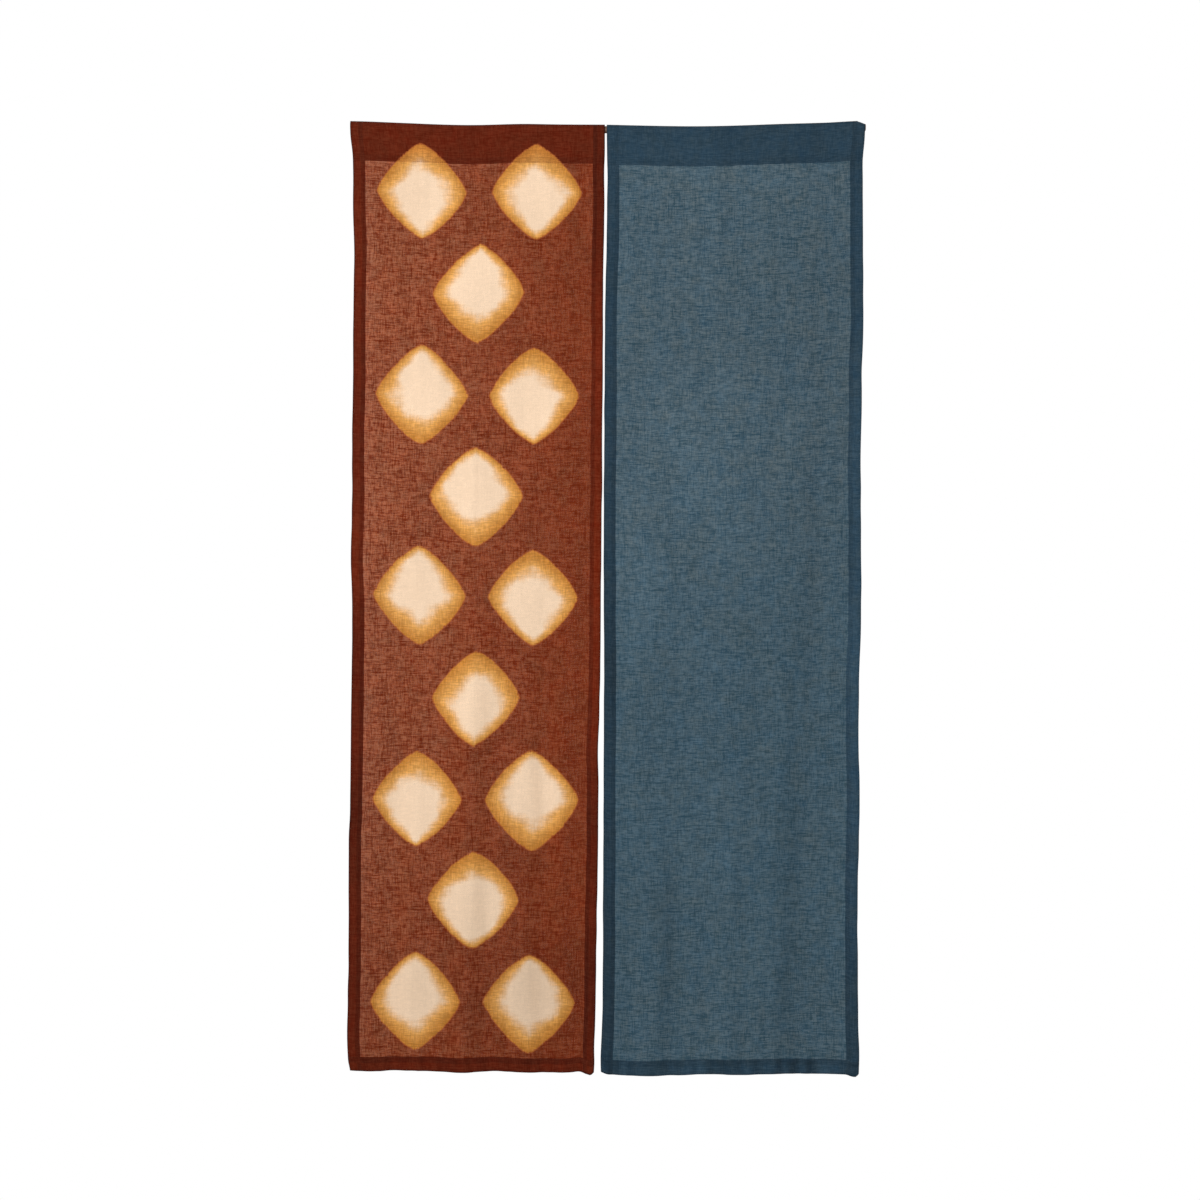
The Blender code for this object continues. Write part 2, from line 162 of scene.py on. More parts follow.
LEFT = Panel(
    name="panel_left",
    heading=0.0605,
    hem=0.0220,
    side_hems=(0.0187, 0.0173),
    sides=[
        Side(-0.014, -0.4003, -0.0046), Side(0.010, -0.4000, -0.0045), Side(0.038, -0.3972, -0.0048),
        Side(0.060, -0.3966, -0.0058), Side(0.120, -0.3962, -0.0055), Side(0.190, -0.3946, -0.0066),
        Side(0.280, -0.3961, -0.0076), Side(0.400, -0.3967, -0.0079), Side(0.480, -0.3980, -0.0087),
        Side(0.570, -0.3977, -0.0091), Side(0.650, -0.3996, -0.0103), Side(0.775, -0.3976, -0.0109),
        Side(0.900, -0.3993, -0.0130), Side(0.966, -0.3998, -0.0154), Side(1.030, -0.4003, -0.0146),
        Side(1.110, -0.4028, -0.0154), Side(1.290, -0.4031, -0.0181), Side(1.350, -0.4043, -0.0188),
        Side(1.435, -0.4047, -0.0212), Side(1.450, -0.4034, -0.0212), Side(1.460, -0.4012, -0.0217),
        Side(1.470, -0.4003, -0.0224),
    ],
    top=[Top(0.00, 0.0008), Top(0.06, 0.0010), Top(0.20, 0.0005), Top(0.50, 0.0000), Top(0.68, 0.0007),
         Top(0.80, 0.0001), Top(1.00, 0.0004)],
    bottom=[Bottom(0.00, 1.4634), Bottom(0.025, 1.4640), Bottom(0.09, 1.4656), Bottom(0.19, 1.4646),
            Bottom(0.32, 1.4650), Bottom(0.43, 1.4664), Bottom(0.60, 1.4650), Bottom(0.74, 1.4679),
            Bottom(0.84, 1.4677), Bottom(0.905, 1.4666), Bottom(0.938, 1.4652), Bottom(0.970, 1.4688),
            Bottom(0.990, 1.4698), Bottom(1.00, 1.4662)],
    folds=[
        Fold(0.50, 0.47, 0.062, 0.0090, 0.18),
        Fold(0.77, 0.79, 0.050, -0.0075, 0.35),
        Fold(0.20, 0.16, 0.055, -0.0065, 0.60),
        Fold(0.99, 0.98, 0.050, 0.0060, 0.25),
        Fold(0.01, 0.02, 0.045, 0.0050, 0.75),
    ],
    creases=[
        Crease(0.487, 0.490, 0.40, 0.93, 0.0035, 0.0006),
        Crease(0.757, 0.760, 0.41, 0.76, 0.0032, 0.0005),
        Crease(0.31, 0.30, 0.70, 1.18, 0.0050, -0.0005),
        Crease(0.63, 0.66, 1.02, 1.40, 0.0045, 0.0005),
    ],
    hem_tones=[
        HemTone(0.06, 1.04, 0.82), HemTone(0.17, 1.15, 0.92), HemTone(0.33, 1.04, 1.32),
        HemTone(0.50, 1.00, 1.22), HemTone(0.66, 1.24, 1.40), HemTone(0.85, 0.86, 1.32),
        HemTone(0.96, 0.99, 1.26), HemTone(1.08, 0.76, 0.90), HemTone(1.20, 0.99, 1.03),
        HemTone(1.35, 0.97, 0.87), HemTone(1.46, 1.10, 0.98),
    ],
    tones=[
        Tone(0.50, 0.42, 0.50, 0.25, 0.03),
        Tone(0.50, 0.85, 0.50, 0.20, 0.03),
        Tone(0.80, 1.345, 0.45, 0.09, -0.13),
    ],
    glows=[
        Glow(0.06, 0.90, 0.05), Glow(0.55, 1.00, 0.00), Glow(0.80, 0.90, 0.00),
        Glow(1.10, 0.85, 0.00), Glow(1.25, 0.75, 0.00), Glow(1.46, 0.65, 0.00),
    ],
    cut_corner=0.0,
    seed=11,
)

RIGHT = Panel(
    name="panel_right",
    heading=0.0618,
    hem=0.0230,
    side_hems=(0.0182, 0.0193),
    sides=[
        Side(-0.014, -0.0018, 0.4001), Side(0.010, -0.0016, 0.3992), Side(0.050, -0.0006, 0.3968),
        Side(0.120, -0.0013, 0.3971), Side(0.172, -0.0015, 0.3970), Side(0.266, -0.0041, 0.3975),
        Side(0.320, -0.0046, 0.3971), Side(0.370, -0.0046, 0.3955), Side(0.440, -0.0053, 0.3948),
        Side(0.510, -0.0057, 0.3937), Side(0.600, -0.0064, 0.3940), Side(0.775, -0.0058, 0.3936),
        Side(0.850, -0.0059, 0.3912), Side(0.925, -0.0060, 0.3900), Side(1.055, -0.0065, 0.3914),
        Side(1.200, -0.0075, 0.3881), Side(1.290, -0.0076, 0.3883), Side(1.400, -0.0090, 0.3896),
        Side(1.445, -0.0108, 0.3908), Side(1.470, -0.0104, 0.3902),
    ],
    top=[Top(0.00, 0.0003), Top(0.10, 0.0000), Top(0.50, 0.0001), Top(0.70, 0.0009), Top(0.86, 0.0014),
         Top(0.95, 0.0026), Top(1.00, 0.0026)],
    bottom=[Bottom(0.00, 1.4660), Bottom(0.021, 1.4691), Bottom(0.052, 1.4700), Bottom(0.115, 1.4720),
            Bottom(0.165, 1.4727), Bottom(0.27, 1.4725), Bottom(0.40, 1.4696), Bottom(0.46, 1.4694),
            Bottom(0.565, 1.4708), Bottom(0.61, 1.4701), Bottom(0.80, 1.4705), Bottom(0.925, 1.4693),
            Bottom(0.953, 1.4696), Bottom(0.978, 1.4728), Bottom(0.990, 1.4730), Bottom(1.00, 1.4690)],
    folds=[
        Fold(0.80, 0.775, 0.075, -0.0105, 0.36),
        Fold(0.29, 0.27, 0.040, -0.0060, 0.90),
        Fold(0.50, 0.48, 0.080, 0.0050, 0.60),
        Fold(0.99, 0.97, 0.060, 0.0060, 0.55),
        Fold(0.03, 0.04, 0.055, 0.0040, 0.30),
    ],
    creases=[
        Crease(0.41, 0.42, 0.12, 0.52, 0.0045, -0.0005),
        Crease(0.62, 0.60, 0.36, 0.90, 0.0050, 0.0005),
        Crease(0.17, 0.16, 0.80, 1.30, 0.0045, 0.0005),
        Crease(0.86, 0.87, 0.95, 1.38, 0.0040, -0.0004),
    ],
    hem_tones=[
        HemTone(0.06, 0.98, 0.98), HemTone(0.20, 0.90, 1.12), HemTone(0.35, 0.92, 1.18),
        HemTone(0.48, 0.86, 1.36), HemTone(0.65, 0.81, 1.27), HemTone(0.88, 0.72, 1.48),
        HemTone(1.00, 0.86, 1.30), HemTone(1.15, 0.80, 1.27), HemTone(1.30, 0.74, 1.06),
        HemTone(1.46, 0.79, 1.02),
    ],
    tones=[
        Tone(0.35, 0.080, 0.35, 0.040, 0.07),
        Tone(0.45, 0.260, 0.60, 0.110, -0.05),
        Tone(0.38, 0.520, 0.18, 0.170, 0.10),
        Tone(0.14, 0.730, 0.09, 0.090, 0.11),
        Tone(0.32, 0.920, 0.22, 0.090, -0.07),
        Tone(0.54, 1.250, 0.11, 0.210, 0.07),
        Tone(0.21, 1.220, 0.06, 0.110, -0.06),
        Tone(0.273, 1.300, 0.04, 0.180, -0.07),
        Tone(0.805, 0.680, 0.04, 0.380, -0.10),
        Tone(0.10, 0.880, 0.05, 0.240, 0.05),
        Tone(0.78, 1.170, 0.07, 0.190, -0.04),
    ],
    glows=[
        Glow(0.06, 1.00, 1.00), Glow(0.50, 0.90, 0.80), Glow(0.80, 0.20, 0.20),
        Glow(1.25, 0.00, 0.00), Glow(1.46, 0.40, 0.40),
    ],
    cut_corner=0.012,
    seed=23,
)

# ---------------------------------------------------------------- colours, all linear
# One linen's colours, with the light that comes through the cloth painted into them: a single layer
# where its yarns are thickest, where they are thinnest in dim light behind (thin) and in bright light
# (bright), and the thin and thick yarns where it is folded and no light comes through, painted darker.
# Deep is what a third layer leaves of the light, as painted shade, line is how much painted shade a
# folded edge gets, and band how much the bottom hem's tone varies along it, as painted light and shade
# of its puckers. Beside a seam a single layer takes the lit colour, painted light, by the share beside.
# Slub is how much the yarns vary, weft share how much of that shows in the weft rather than the warp,
# and open how wide the gaps are.
Linen = namedtuple("Linen", "thick thin bright folded_thin folded_thick deep line band lit beside"
                            " slub weft_share open")
RUST_LINEN = Linen(
    thick=(0.134, 0.0143, 0.0012), thin=(0.229, 0.0468, 0.0140), bright=(0.3830, 0.1180, 0.0520),
    folded_thin=(0.135, 0.0200, 0.0056), folded_thick=(0.091, 0.0072, 0.0002),
    deep=0.76, line=0.70, band=0.12, lit=(1.0, 0.42, 0.28), beside=0.055,
    slub=4.1, weft_share=0.55, open=0.168)
INDIGO_LINEN = Linen(
    thick=(0.0273, 0.0630, 0.0895), thin=(0.0832, 0.1356, 0.1723), bright=(0.0956, 0.1426, 0.1720),
    folded_thin=(0.0355, 0.0680, 0.0980), folded_thick=(0.0165, 0.0400, 0.0630),
    deep=0.86, line=0.34, band=0.28, lit=(0.40, 0.49, 0.54), beside=0.015,
    slub=3.6, weft_share=0.60, open=0.168)
CREAM = (0.880, 0.650, 0.455)
OCHRE = (0.710, 0.345, 0.088)
DEEP_OCHRE = (0.500, 0.195, 0.030)
SEEP = (0.420, 0.105, 0.025)            # the thin rusty line where the resist leaked
WOOD_DARK = (0.035, 0.015, 0.008)
WOOD_LIGHT = (0.200, 0.115, 0.080)
WOOD_END = (0.200, 0.130, 0.085)
RUST_THREAD = (0.130, 0.0230, 0.0090)
INDIGO_THREAD = (0.0300, 0.0560, 0.0800)
FLOOR_WHITE = (0.80, 0.80, 0.79)

# ---------------------------------------------------------------- the resist-dyed lozenges
MARK_ROWS = 9
MARK_FIRST = 0.109            # from the curtain's top edge down to the first row's middle
MARK_PITCH = 0.1572
MARK_ASIDE = 0.090            # in every other row, two marks stand this far from the panel's middle
MARK_HALF_WIDTH = 0.072
MARK_HALF_HEIGHT = 0.076
MARK_ROUNDNESS = 1.3          # 1 is a true lozenge and 2 an ellipse
MARK_WANDER = 0.004           # how far a mark lies from its true place
MARK_SIZE_RANGE = 0.06        # how much the marks' sizes differ, as a share of them
SEEP_DEPTH = 0.025            # how far the ochre has crept in from the rim


# ---------------------------------------------------------------- curves and blends
def smooth_curve(places, values, at):
    """Cubic Hermite curve through (places, values), with each point's slope from its neighbours."""
    places = np.asarray(places, dtype=float)
    values = np.asarray(values, dtype=float)
    slopes = np.gradient(values, places)
    at = np.clip(at, places[0], places[-1])
    i = np.clip(np.searchsorted(places, at, side="right") - 1, 0, len(places) - 2)
    span = places[i + 1] - places[i]
    t = (at - places[i]) / span
    start = (1 + 2 * t) * (1 - t) ** 2 * values[i] + t * (1 - t) ** 2 * span * slopes[i]
    end = t * t * (3 - 2 * t) * values[i + 1] + t * t * (t - 1) * span * slopes[i + 1]
    return start + end


def table_curve(table, column, at):
    """Smooth curve through one column of a table, over the places in its first column."""
    return smooth_curve([row[0] for row in table], [getattr(row, column) for row in table], at)


def soft_step(x):
    """0 below 0, 1 above 1 and 3x^2 - 2x^3 between."""
    x = np.clip(x, 0.0, 1.0)
    return x * x * (3 - 2 * x)


def whole_turn(count):
    """Angles of so many points round a circle."""
    return np.arange(count) * 2 * pi / count


def length_along(steps):
    """Length along a line up to each of its points, from the steps between them."""
    return np.concatenate([[0], np.cumsum(steps)])


def uneven(seed, at, pitch):
    """A smooth random wave between about -1 and 1: a curve through random values, one every pitch."""
    low = np.min(at) - 2 * pitch
    count = int((np.max(at) - low) / pitch) + 4
    values = np.random.default_rng(seed).uniform(-1, 1, count)
    return smooth_curve(low + pitch * np.arange(count), values, at)


def rod_height(x):
    """Height of the rod's axis at x."""
    return table_curve(ROD_LINE, "rise", x)


# ---------------------------------------------------------------- how a panel hangs
def panel_width(panel):
    """Width of a panel at its top, which is taken as the width of the sewn cloth."""
    return panel.sides[0].right - panel.sides[0].left


def hang(panel, across, drop):
    """y of the hanging cloth. Folds and creases are bells across it, exp(-(distance / half width)^2).

    A fold grows from its start to the bottom hem, and its middle moves across as it goes down. A crease
    fades in and out at its two ends. Faint slanting waves and the pull of the seams are added.
    """
    low = panel.sides[-1].drop
    width = panel_width(panel)
    depth = 0.0
    for fold in panel.folds:
        down = np.clip((drop - fold.start) / (low - fold.start), 0.0, 1.0)
        middle = fold.across_start + (fold.across_end - fold.across_start) * down
        bell = np.exp(-((across - middle) / fold.half_width) ** 2)
        depth = depth - fold.forward * soft_step(down * FOLD_GROWTH) * bell
    for crease in panel.creases:
        down = (drop - crease.top) / (crease.low - crease.top)
        middle = crease.across_top + (crease.across_low - crease.across_top) * np.clip(down, 0.0, 1.0)
        ends = soft_step(down / CREASE_FADE) * soft_step((1 - down) / CREASE_FADE)
        bell = np.exp(-((across - middle) * width / crease.half_width) ** 2)
        depth = depth - crease.forward * ends * bell
    return depth + ripples(panel, across * width, drop) + gathers(panel, across, drop)


def ripples(panel, x, drop):
    """Faint waves in the cloth: a sum of slanting sine waves of random length, slant and phase."""
    random = np.random.default_rng(panel.seed)
    total = 0.0
    for length in RIPPLE_LENGTHS:
        slant = random.uniform(-RIPPLE_SLANT, RIPPLE_SLANT)
        phase = random.uniform(0, 2 * pi)
        total = total + np.sin(2 * pi * (x + slant * drop) / length + phase)
    return SOFT_RIPPLE * total / 2


def gathers(panel, across, drop):
    """The small in-and-out of cloth that a seam draws up: a random wave along each seam that dies out
    with the distance from it. In the bottom hem it is higher and doesn't die out."""
    width = panel_width(panel)
    low = table_curve(panel.bottom, "drop", across)
    seams = [
        (GATHER, np.abs(across * width - SIDE_HEM), drop),
        (GATHER, np.abs((1 - across) * width - SIDE_HEM), drop),
        (GATHER, np.abs(drop - panel.heading), across * width),
        (HEM_GATHER, np.maximum(low - drop - panel.hem, 0), across * width),
    ]
    total = 0.0
    for number, (height, distance, along) in enumerate(seams):
        wave = uneven(panel.seed + GATHER_SEED + number, along, GATHER_PITCH)
        total = total + height * wave * np.exp(-distance / GATHER_REACH)
    return total


def side_edge(panel, side, drop):
    """x of a panel's left (-1) or right (1) edge at a drop below the rod, a little uneven."""
    edge = table_curve(panel.sides, "left" if side < 0 else "right", drop)
    return edge + EDGE_WAVER * uneven(panel.seed + EDGE_SEED + side, drop, EDGE_PITCH)


# ---------------------------------------------------------------- the strip of cloth
# A strip's columns: which edge a place is measured from (-1 left, 0 middle, 1 right), the place in
# metres from that edge, or as a share of the middle, how deep the layer lies behind the front one, how
# many layers lie on each other there, its place across the panel (0 to 1) and across the flat cut, how
# thick the side hem's layers stack up there, and 1 on the columns of the front layer.
Strip = namedtuple("Strip", "anchor place depth layers across flat stack front")


def half_circle(start):
    """Angles of the points inside a half circle that begins at start and turns on."""
    return start + np.linspace(0, pi, FOLD_POINTS + 2)[1:-1]


def both_sides(side, middle):
    """One side's values, the middle's, and the side's again in reverse."""
    return np.concatenate([side, middle, side[::-1]])


def strip_columns(width):
    """Columns across the cut cloth: turn-in, the hem's inner fold, its back layer, the folded edge,
    then the front, the middle, and the same again in reverse. Each fold is a half circle."""
    gap = LAYER_GAP
    inner = SIDE_HEM - gap / 2
    seam = SIDE_HEM - STITCH_INSET
    turn, edge = half_circle(-pi / 2), half_circle(pi / 2)
    raw = SIDE_HEM - SIDE_TURN
    wall = np.array([*IN_HEM, raw - LAYER_SHADE / 2, raw + LAYER_SHADE / 2, BEFORE_SEAM, seam])
    groups = [
        (np.array([raw, raw + SIDE_TURN / 2, inner]), np.full(3, gap), 0),
        (inner + gap / 2 * np.cos(turn), 1.5 * gap + gap / 2 * np.sin(turn), 0),
        (np.concatenate([[inner], wall[::-1], [gap]]), np.full(len(wall) + 2, 2 * gap), 0),
        (gap + gap * np.cos(edge), gap + gap * np.sin(edge), 0),
        (np.concatenate([[gap], wall, [SIDE_HEM]]), np.zeros(len(wall) + 2), 1),
    ]
    side_place, side_depth = (np.concatenate([group[k] for group in groups]) for k in (0, 1))
    side_front = np.concatenate([np.full(len(group[0]), group[2]) for group in groups])
    inside = width - 2 * SIDE_HEM
    near = np.array([HEM_SHADE, *NEAR_HEM])
    middle = np.concatenate([
        near, np.linspace(SIDE_HEM, inside - SIDE_HEM, MIDDLE_COLUMNS), inside - near[::-1]])
    ones, zeros = np.ones(len(side_place)), np.zeros(len(middle))
    depth = both_sides(side_depth, zeros)
    nominal = np.concatenate([side_place, SIDE_HEM + middle, width - side_place[::-1]])
    flat = length_along(np.hypot(np.diff(nominal), np.diff(depth)))
    from_hem = np.minimum(nominal, width - nominal) - SIDE_HEM
    return Strip(
        anchor=np.concatenate([-ones, zeros, ones]),
        place=both_sides(side_place, middle / inside),
        depth=depth,
        layers=both_sides(np.where(side_place > raw, 3.0, 2.0), zeros + 1),
        across=np.clip(nominal / width, 0, 1),
        flat=flat - flat[-1] / 2,
        stack=2 * gap * soft_step(1 - from_hem / STACK_FADE),
        front=both_sides(side_front, zeros + 1),
    )


def strip_x(panel, strip, z, over_axis):
    """x of every point of the strip: measured from its own edge in a hem, and shared out in the middle.

    Near a cut-back heading corner the last hem's width is squeezed towards its inner edge.
    """
    left = side_edge(panel, -1, -z)
    right = side_edge(panel, 1, -z)
    hems = [hem + HEM_WAVER * uneven(panel.seed + SIDE_HEM_SEED + side, -z, HEM_PITCH)
            for side, hem in zip((-1, 1), panel.side_hems)]
    middle = left + hems[0] + (right - left - hems[0] - hems[1]) * strip.place
    x = np.where(strip.anchor < 0, left + strip.place * hems[0] / SIDE_HEM, middle)
    x = np.where(strip.anchor > 0, right - strip.place * hems[1] / SIDE_HEM, x)
    in_corner = np.where(strip.anchor > 0, np.clip(1 - strip.place / SIDE_HEM, 0, 1), 0)
    over = np.clip((over_axis - CUT_START) / CUT_HEIGHT, 0.0, 1.0)
    return x - panel.cut_corner * in_corner * over


# A block of rows of the strip: the y and z of its front-facing layer, how many layers lie on each
# other, 1 where the block can be seen, and a name that the stitching looks for.
Rows = namedtuple("Rows", "y z layers seen name")


def rows(y, z, layers=2, seen=1, name=""):
    """A block of rows, from arrays of rows by columns."""
    y, z = np.broadcast_arrays(y, z)
    return Rows(y, z, layers, seen, name)


def by_row(blocks, column):
    """One thing about each block, for every row."""
    return np.concatenate([[getattr(block, column)] * len(block.y) for block in blocks])


# The blocks of a wall, from its seam outwards: the row at the seam, the row of stitches, the rows over
# what is turned in, and the rest.
WALL_CUTS = (slice(0, 1), slice(1, 2), slice(2, 4), slice(4, None))


def wall_rows(y, z, layers, name, back_to_seam=False):
    """One wall of the heading or the bottom hem in blocks, whose stitches have a name. They run
    outwards from the seam, or back to it."""
    kinds = ((layers, ""), (layers, name), (layers, ""), (2, ""))
    blocks = [rows(y[cut], z[cut], count, name=label) for cut, (count, label) in zip(WALL_CUTS, kinds)]
    if back_to_seam:
        blocks = [block._replace(y=block.y[::-1], z=block.z[::-1]) for block in blocks[::-1]]
    return blocks


def heading_rows(panel, strip, axis, crown, seam, seam_y, thick):
    """The heading, from its turned-in end: down to the seam, up behind the rod, over it and down.

    Each wall is a straight line from the seam to where it touches the circle round the rod. The crown
    is that circle's arc, raised at its top by a bell, because a pressed crease stands above the rod.
    """
    fold_radius = (2 * strip.stack + LAYER_GAP) / 2
    radius = ROD_RADIUS + ROD_CLEARANCE + CLOTH_THICKNESS / 2 + strip.stack
    low = seam - axis
    back_y, back_z = seam_y + thick, low + fold_radius
    front_angle = 2 * pi + np.arctan2(low, seam_y) - np.arccos(radius / np.hypot(low, seam_y))
    back_angle = np.arctan2(back_z, back_y) + np.arccos(radius / np.hypot(back_z, back_y))
    front_touch = radius * np.cos(front_angle), radius * np.sin(front_angle)
    back_touch = radius * np.cos(back_angle), radius * np.sin(back_angle)

    border = (TURN_IN + np.array([-0.5, 0.5]) * LAYER_SHADE) / (panel.heading - 2 * ROD_RADIUS)
    up = np.concatenate([[0, STITCH_INSET / panel.heading, HEADING_LOW], border,
                         np.linspace(HEADING_FREE, 1, HEADING_ROWS)])[:, None]
    front_y = seam_y + (front_touch[0] - seam_y) * up
    front_z = low + (front_touch[1] - low) * up
    wall_y = back_y + (back_touch[0] - back_y) * up
    wall_z = back_z + (back_touch[1] - back_z) * up

    tucked = np.array([TURN_IN, TURN_IN / 2, 0])[:, None] + fold_radius
    tucked_y = seam_y + (front_touch[0] - seam_y) * tucked / (front_touch[1] - low)
    turn = half_circle(0)[:, None]
    fold_y = back_y - fold_radius - fold_radius * np.cos(turn)
    fold_z = back_z - fold_radius * np.sin(turn)

    share = np.linspace(0, 1, CROWN_ROWS + 2)[1:-1, None]
    angle = back_angle + (front_angle - back_angle) * share
    stand = crown - CLOTH_THICKNESS / 2 - axis - radius
    crease = stand * np.exp(-((angle - pi / 2) / CREASE_WIDTH) ** 2)
    over_y, over_z = (radius + crease) * np.cos(angle), (radius + crease) * np.sin(angle)
    return [
        rows(tucked_y + strip.stack + LAYER_GAP, low + tucked + axis, HEADING_LAYERS, seen=0),
        rows(fold_y, fold_z + axis, HEADING_LAYERS),
        *wall_rows(wall_y, wall_z + axis, HEADING_LAYERS, "seam"),
        rows(over_y, over_z + axis),
        *wall_rows(front_y, front_z + axis, HEADING_LAYERS, "seam", back_to_seam=True),
    ]


def body_rows(panel, strip, seam, hem_top):
    """The single sheet from just below the seam to just above the bottom hem."""
    share = np.linspace(0, 1, BODY_ROWS)[:, None]
    z = seam - HEM_SHADE + (hem_top - seam + 2 * HEM_SHADE) * share
    return [rows(hang(panel, strip.across, -z) - FRONT_SET, z, layers=1, name="body")]


def hem_rows(panel, strip, bottom, hem_top, thick):
    """The bottom hem: down in front, round the folded edge, up behind, and in again out of sight."""
    gap = LAYER_GAP
    edge_radius = thick / 2
    fold_radius = (2 * strip.stack + gap) / 2
    height = hem_top - bottom
    raw = TURN_IN / panel.hem
    border = LAYER_SHADE / panel.hem
    share = np.array([1, 1 - STITCH_INSET / panel.hem, 1 - raw / 2, 1 - raw + border / 2,
                      1 - raw - border / 2, *HEM_FREE])[:, None]
    down_z = np.concatenate([bottom + height * share, (bottom + edge_radius)[None]])
    fold_z = hem_top - fold_radius
    up_z = np.concatenate([fold_z[None], down_z[1:]])
    in_z = fold_z - np.array([0, TURN_IN / 2, TURN_IN])[:, None]
    turn = half_circle(0)[:, None]

    def front(z):
        return hang(panel, strip.across, -z) - FRONT_SET

    # block by block, because the random waves along a side hem begin anew with the rows they are given
    down_y = np.concatenate([front(down_z[cut]) for cut in WALL_CUTS])
    edge_y = front(down_z[-1]) + edge_radius
    fold_y = front(fold_z) + thick - fold_radius
    return [
        *wall_rows(down_y, down_z, 3, "hem"),
        rows(edge_y - edge_radius * np.cos(turn), bottom + edge_radius - edge_radius * np.sin(turn)),
        *wall_rows(front(up_z) + thick, up_z, 3, "hem", back_to_seam=True),
        rows(fold_y + fold_radius * np.cos(turn), fold_z + fold_radius * np.sin(turn), 3),
        rows(front(in_z) + strip.stack + gap, in_z, 3, seen=0),
    ]


# A finished panel as a grid: points and outward normals (rows by columns by 3), place on the flat cut,
# how many layers lie behind the front one, how light its colour is (painted shade and light included),
# how much light from beside a seam shows, how bright the light behind is, both painted into the
# colour, 1 on the layers that lie at the back, and the blocks and the strip that it is made of.
Cloth = namedtuple("Cloth", "points normals flat behind tone lit glow back blocks strip")
PAINTED = ("behind", "tone", "lit", "glow", "back")       # what the linen reads from its mesh


def cloth_tone(panel, linen, strip, behind, down, low_fold):
    """How light the cloth is at every point, as a factor on its colour.

    A folded edge has a line of painted shade, exp(-distance / EDGE_SHADE). A third layer darkens the
    cloth again as painted shade, and upright streaks of painted light and shade from the hem's puckers
    cross the bottom hem and, fainter, the heading. The side hems' tones and the soft places of painted
    light and shade come from the panel's tables.
    """
    width = panel_width(panel)
    side_fold = np.abs(np.abs(strip.flat) - width / 2)
    edge = np.maximum(np.exp(-np.minimum(side_fold[None, :], low_fold[:, None]) / EDGE_SHADE),
                      CROWN_SHADE * np.exp(-np.abs(down[:, None]) / EDGE_SHADE))
    tone = (1 - linen.line * edge) * (1 - (1 - linen.deep) * np.clip(behind - 1, 0, 1))

    streak = uneven(panel.seed + STREAK_SEED, strip.across * width, HEM_STREAK)
    share = np.where(np.abs(down) < panel.heading, HEADING_STREAK, 0.0)
    share = np.where(low_fold < panel.hem, 1.0, share)
    tone = tone * (1 + linen.band * share[:, None] * streak)

    drop = np.abs(down)[:, None]
    left, right = (table_curve(panel.hem_tones, side, drop) for side in ("left", "right"))
    tone = tone * np.where(strip.anchor < 0, left, 1) * np.where(strip.anchor > 0, right, 1)
    for place in panel.tones:
        off = ((strip.across - place.across) / place.half_width) ** 2
        off = off + ((drop - place.drop) / place.half_height) ** 2
        tone = tone * (1 + place.change * np.exp(-off))
    return tone


def seam_light(panel, strip, behind, down):
    """Nearness of a single layer to a side hem or to the heading's seam: exp(-distance / reach)."""
    from_side = np.minimum(strip.across, 1 - strip.across) * panel_width(panel) - SIDE_HEM
    from_seam = np.minimum(from_side[None, :], np.abs(down[:, None] - panel.heading))
    return np.where(behind == 0, np.exp(-np.abs(from_seam) / SEAM_LIGHT_REACH), 0)


def glow_behind(panel, strip, down):
    """Light behind the cloth: from the panel's table down each side, and a straight line across."""
    drop = np.abs(down)[:, None]
    left, right = (table_curve(panel.glows, side, drop) for side in ("left", "right"))
    return left + (right - left) * strip.across


def panel_cloth(panel, linen):
    """The whole strip of one panel.

    Its rows follow the cut length as a line in the plane of y and z, and a column's depth is measured
    from that line along its normal, (-dz, dy), which always points to the cloth's wrong side.
    """
    width = panel_width(panel)
    strip = strip_columns(width)
    across = strip.across
    axis = rod_height(side_edge(panel, -1, 0.0) + width * across)
    crown = axis + ROD_RADIUS + CROWN_STAND + table_curve(panel.top, "rise", across)
    bottom = -table_curve(panel.bottom, "drop", across)
    seam_wave, hem_wave = (HEM_WAVER * uneven(panel.seed + own, across * width, HEM_PITCH)
                           for own in (SEAM_SEED, BOTTOM_HEM_SEED))
    seam = crown - panel.heading + seam_wave
    hem_top = bottom + panel.hem + hem_wave
    thick = 3 * strip.stack + 2 * LAYER_GAP
    seam_y = hang(panel, across, -seam) - FRONT_SET
    blocks = (heading_rows(panel, strip, axis, crown, seam, seam_y, thick)
              + body_rows(panel, strip, seam, hem_top)
              + hem_rows(panel, strip, bottom, hem_top, thick))
    y, z = (np.concatenate([getattr(block, name) for block in blocks]) for name in "yz")
    down_y, down_z = np.gradient(y, axis=0), np.gradient(z, axis=0)
    length = np.hypot(down_y, down_z)
    y_in = y - down_z / length * strip.depth
    z_in = z + down_y / length * strip.depth
    x = strip_x(panel, strip, z, z - axis)
    points = np.stack([x, y_in, z_in], axis=-1)

    middle = len(across) // 2
    down = length_along(np.hypot(np.diff(y[:, middle]), np.diff(z[:, middle])))
    down = down - down[np.argmax(z[:, middle])]
    behind = np.maximum(by_row(blocks, "layers")[:, None], strip.layers) - 1
    low_end = down[np.argmin(z[:, middle])]
    tone = cloth_tone(panel, linen, strip, behind, down, np.abs(down - low_end))
    glow = glow_behind(panel, strip, down)
    lit = linen.beside * seam_light(panel, strip, behind, down) * (DIM_LIT + (1 - DIM_LIT) * glow)
    back = np.maximum(((down < 0) | (down > low_end))[:, None], strip.front[None, :] == 0)
    flat = np.stack(np.broadcast_arrays(strip.flat[None, :], down[:, None]), axis=-1)
    return Cloth(points, grid_normals(points), flat, behind, tone, lit, glow, back, blocks, strip)


def grid_normals(points):
    """Unit normals of a grid: the cross product of its downward and its sideways direction."""
    normal = np.cross(np.gradient(points, axis=0), np.gradient(points, axis=1))
    return normal / np.linalg.norm(normal, axis=-1, keepdims=True)


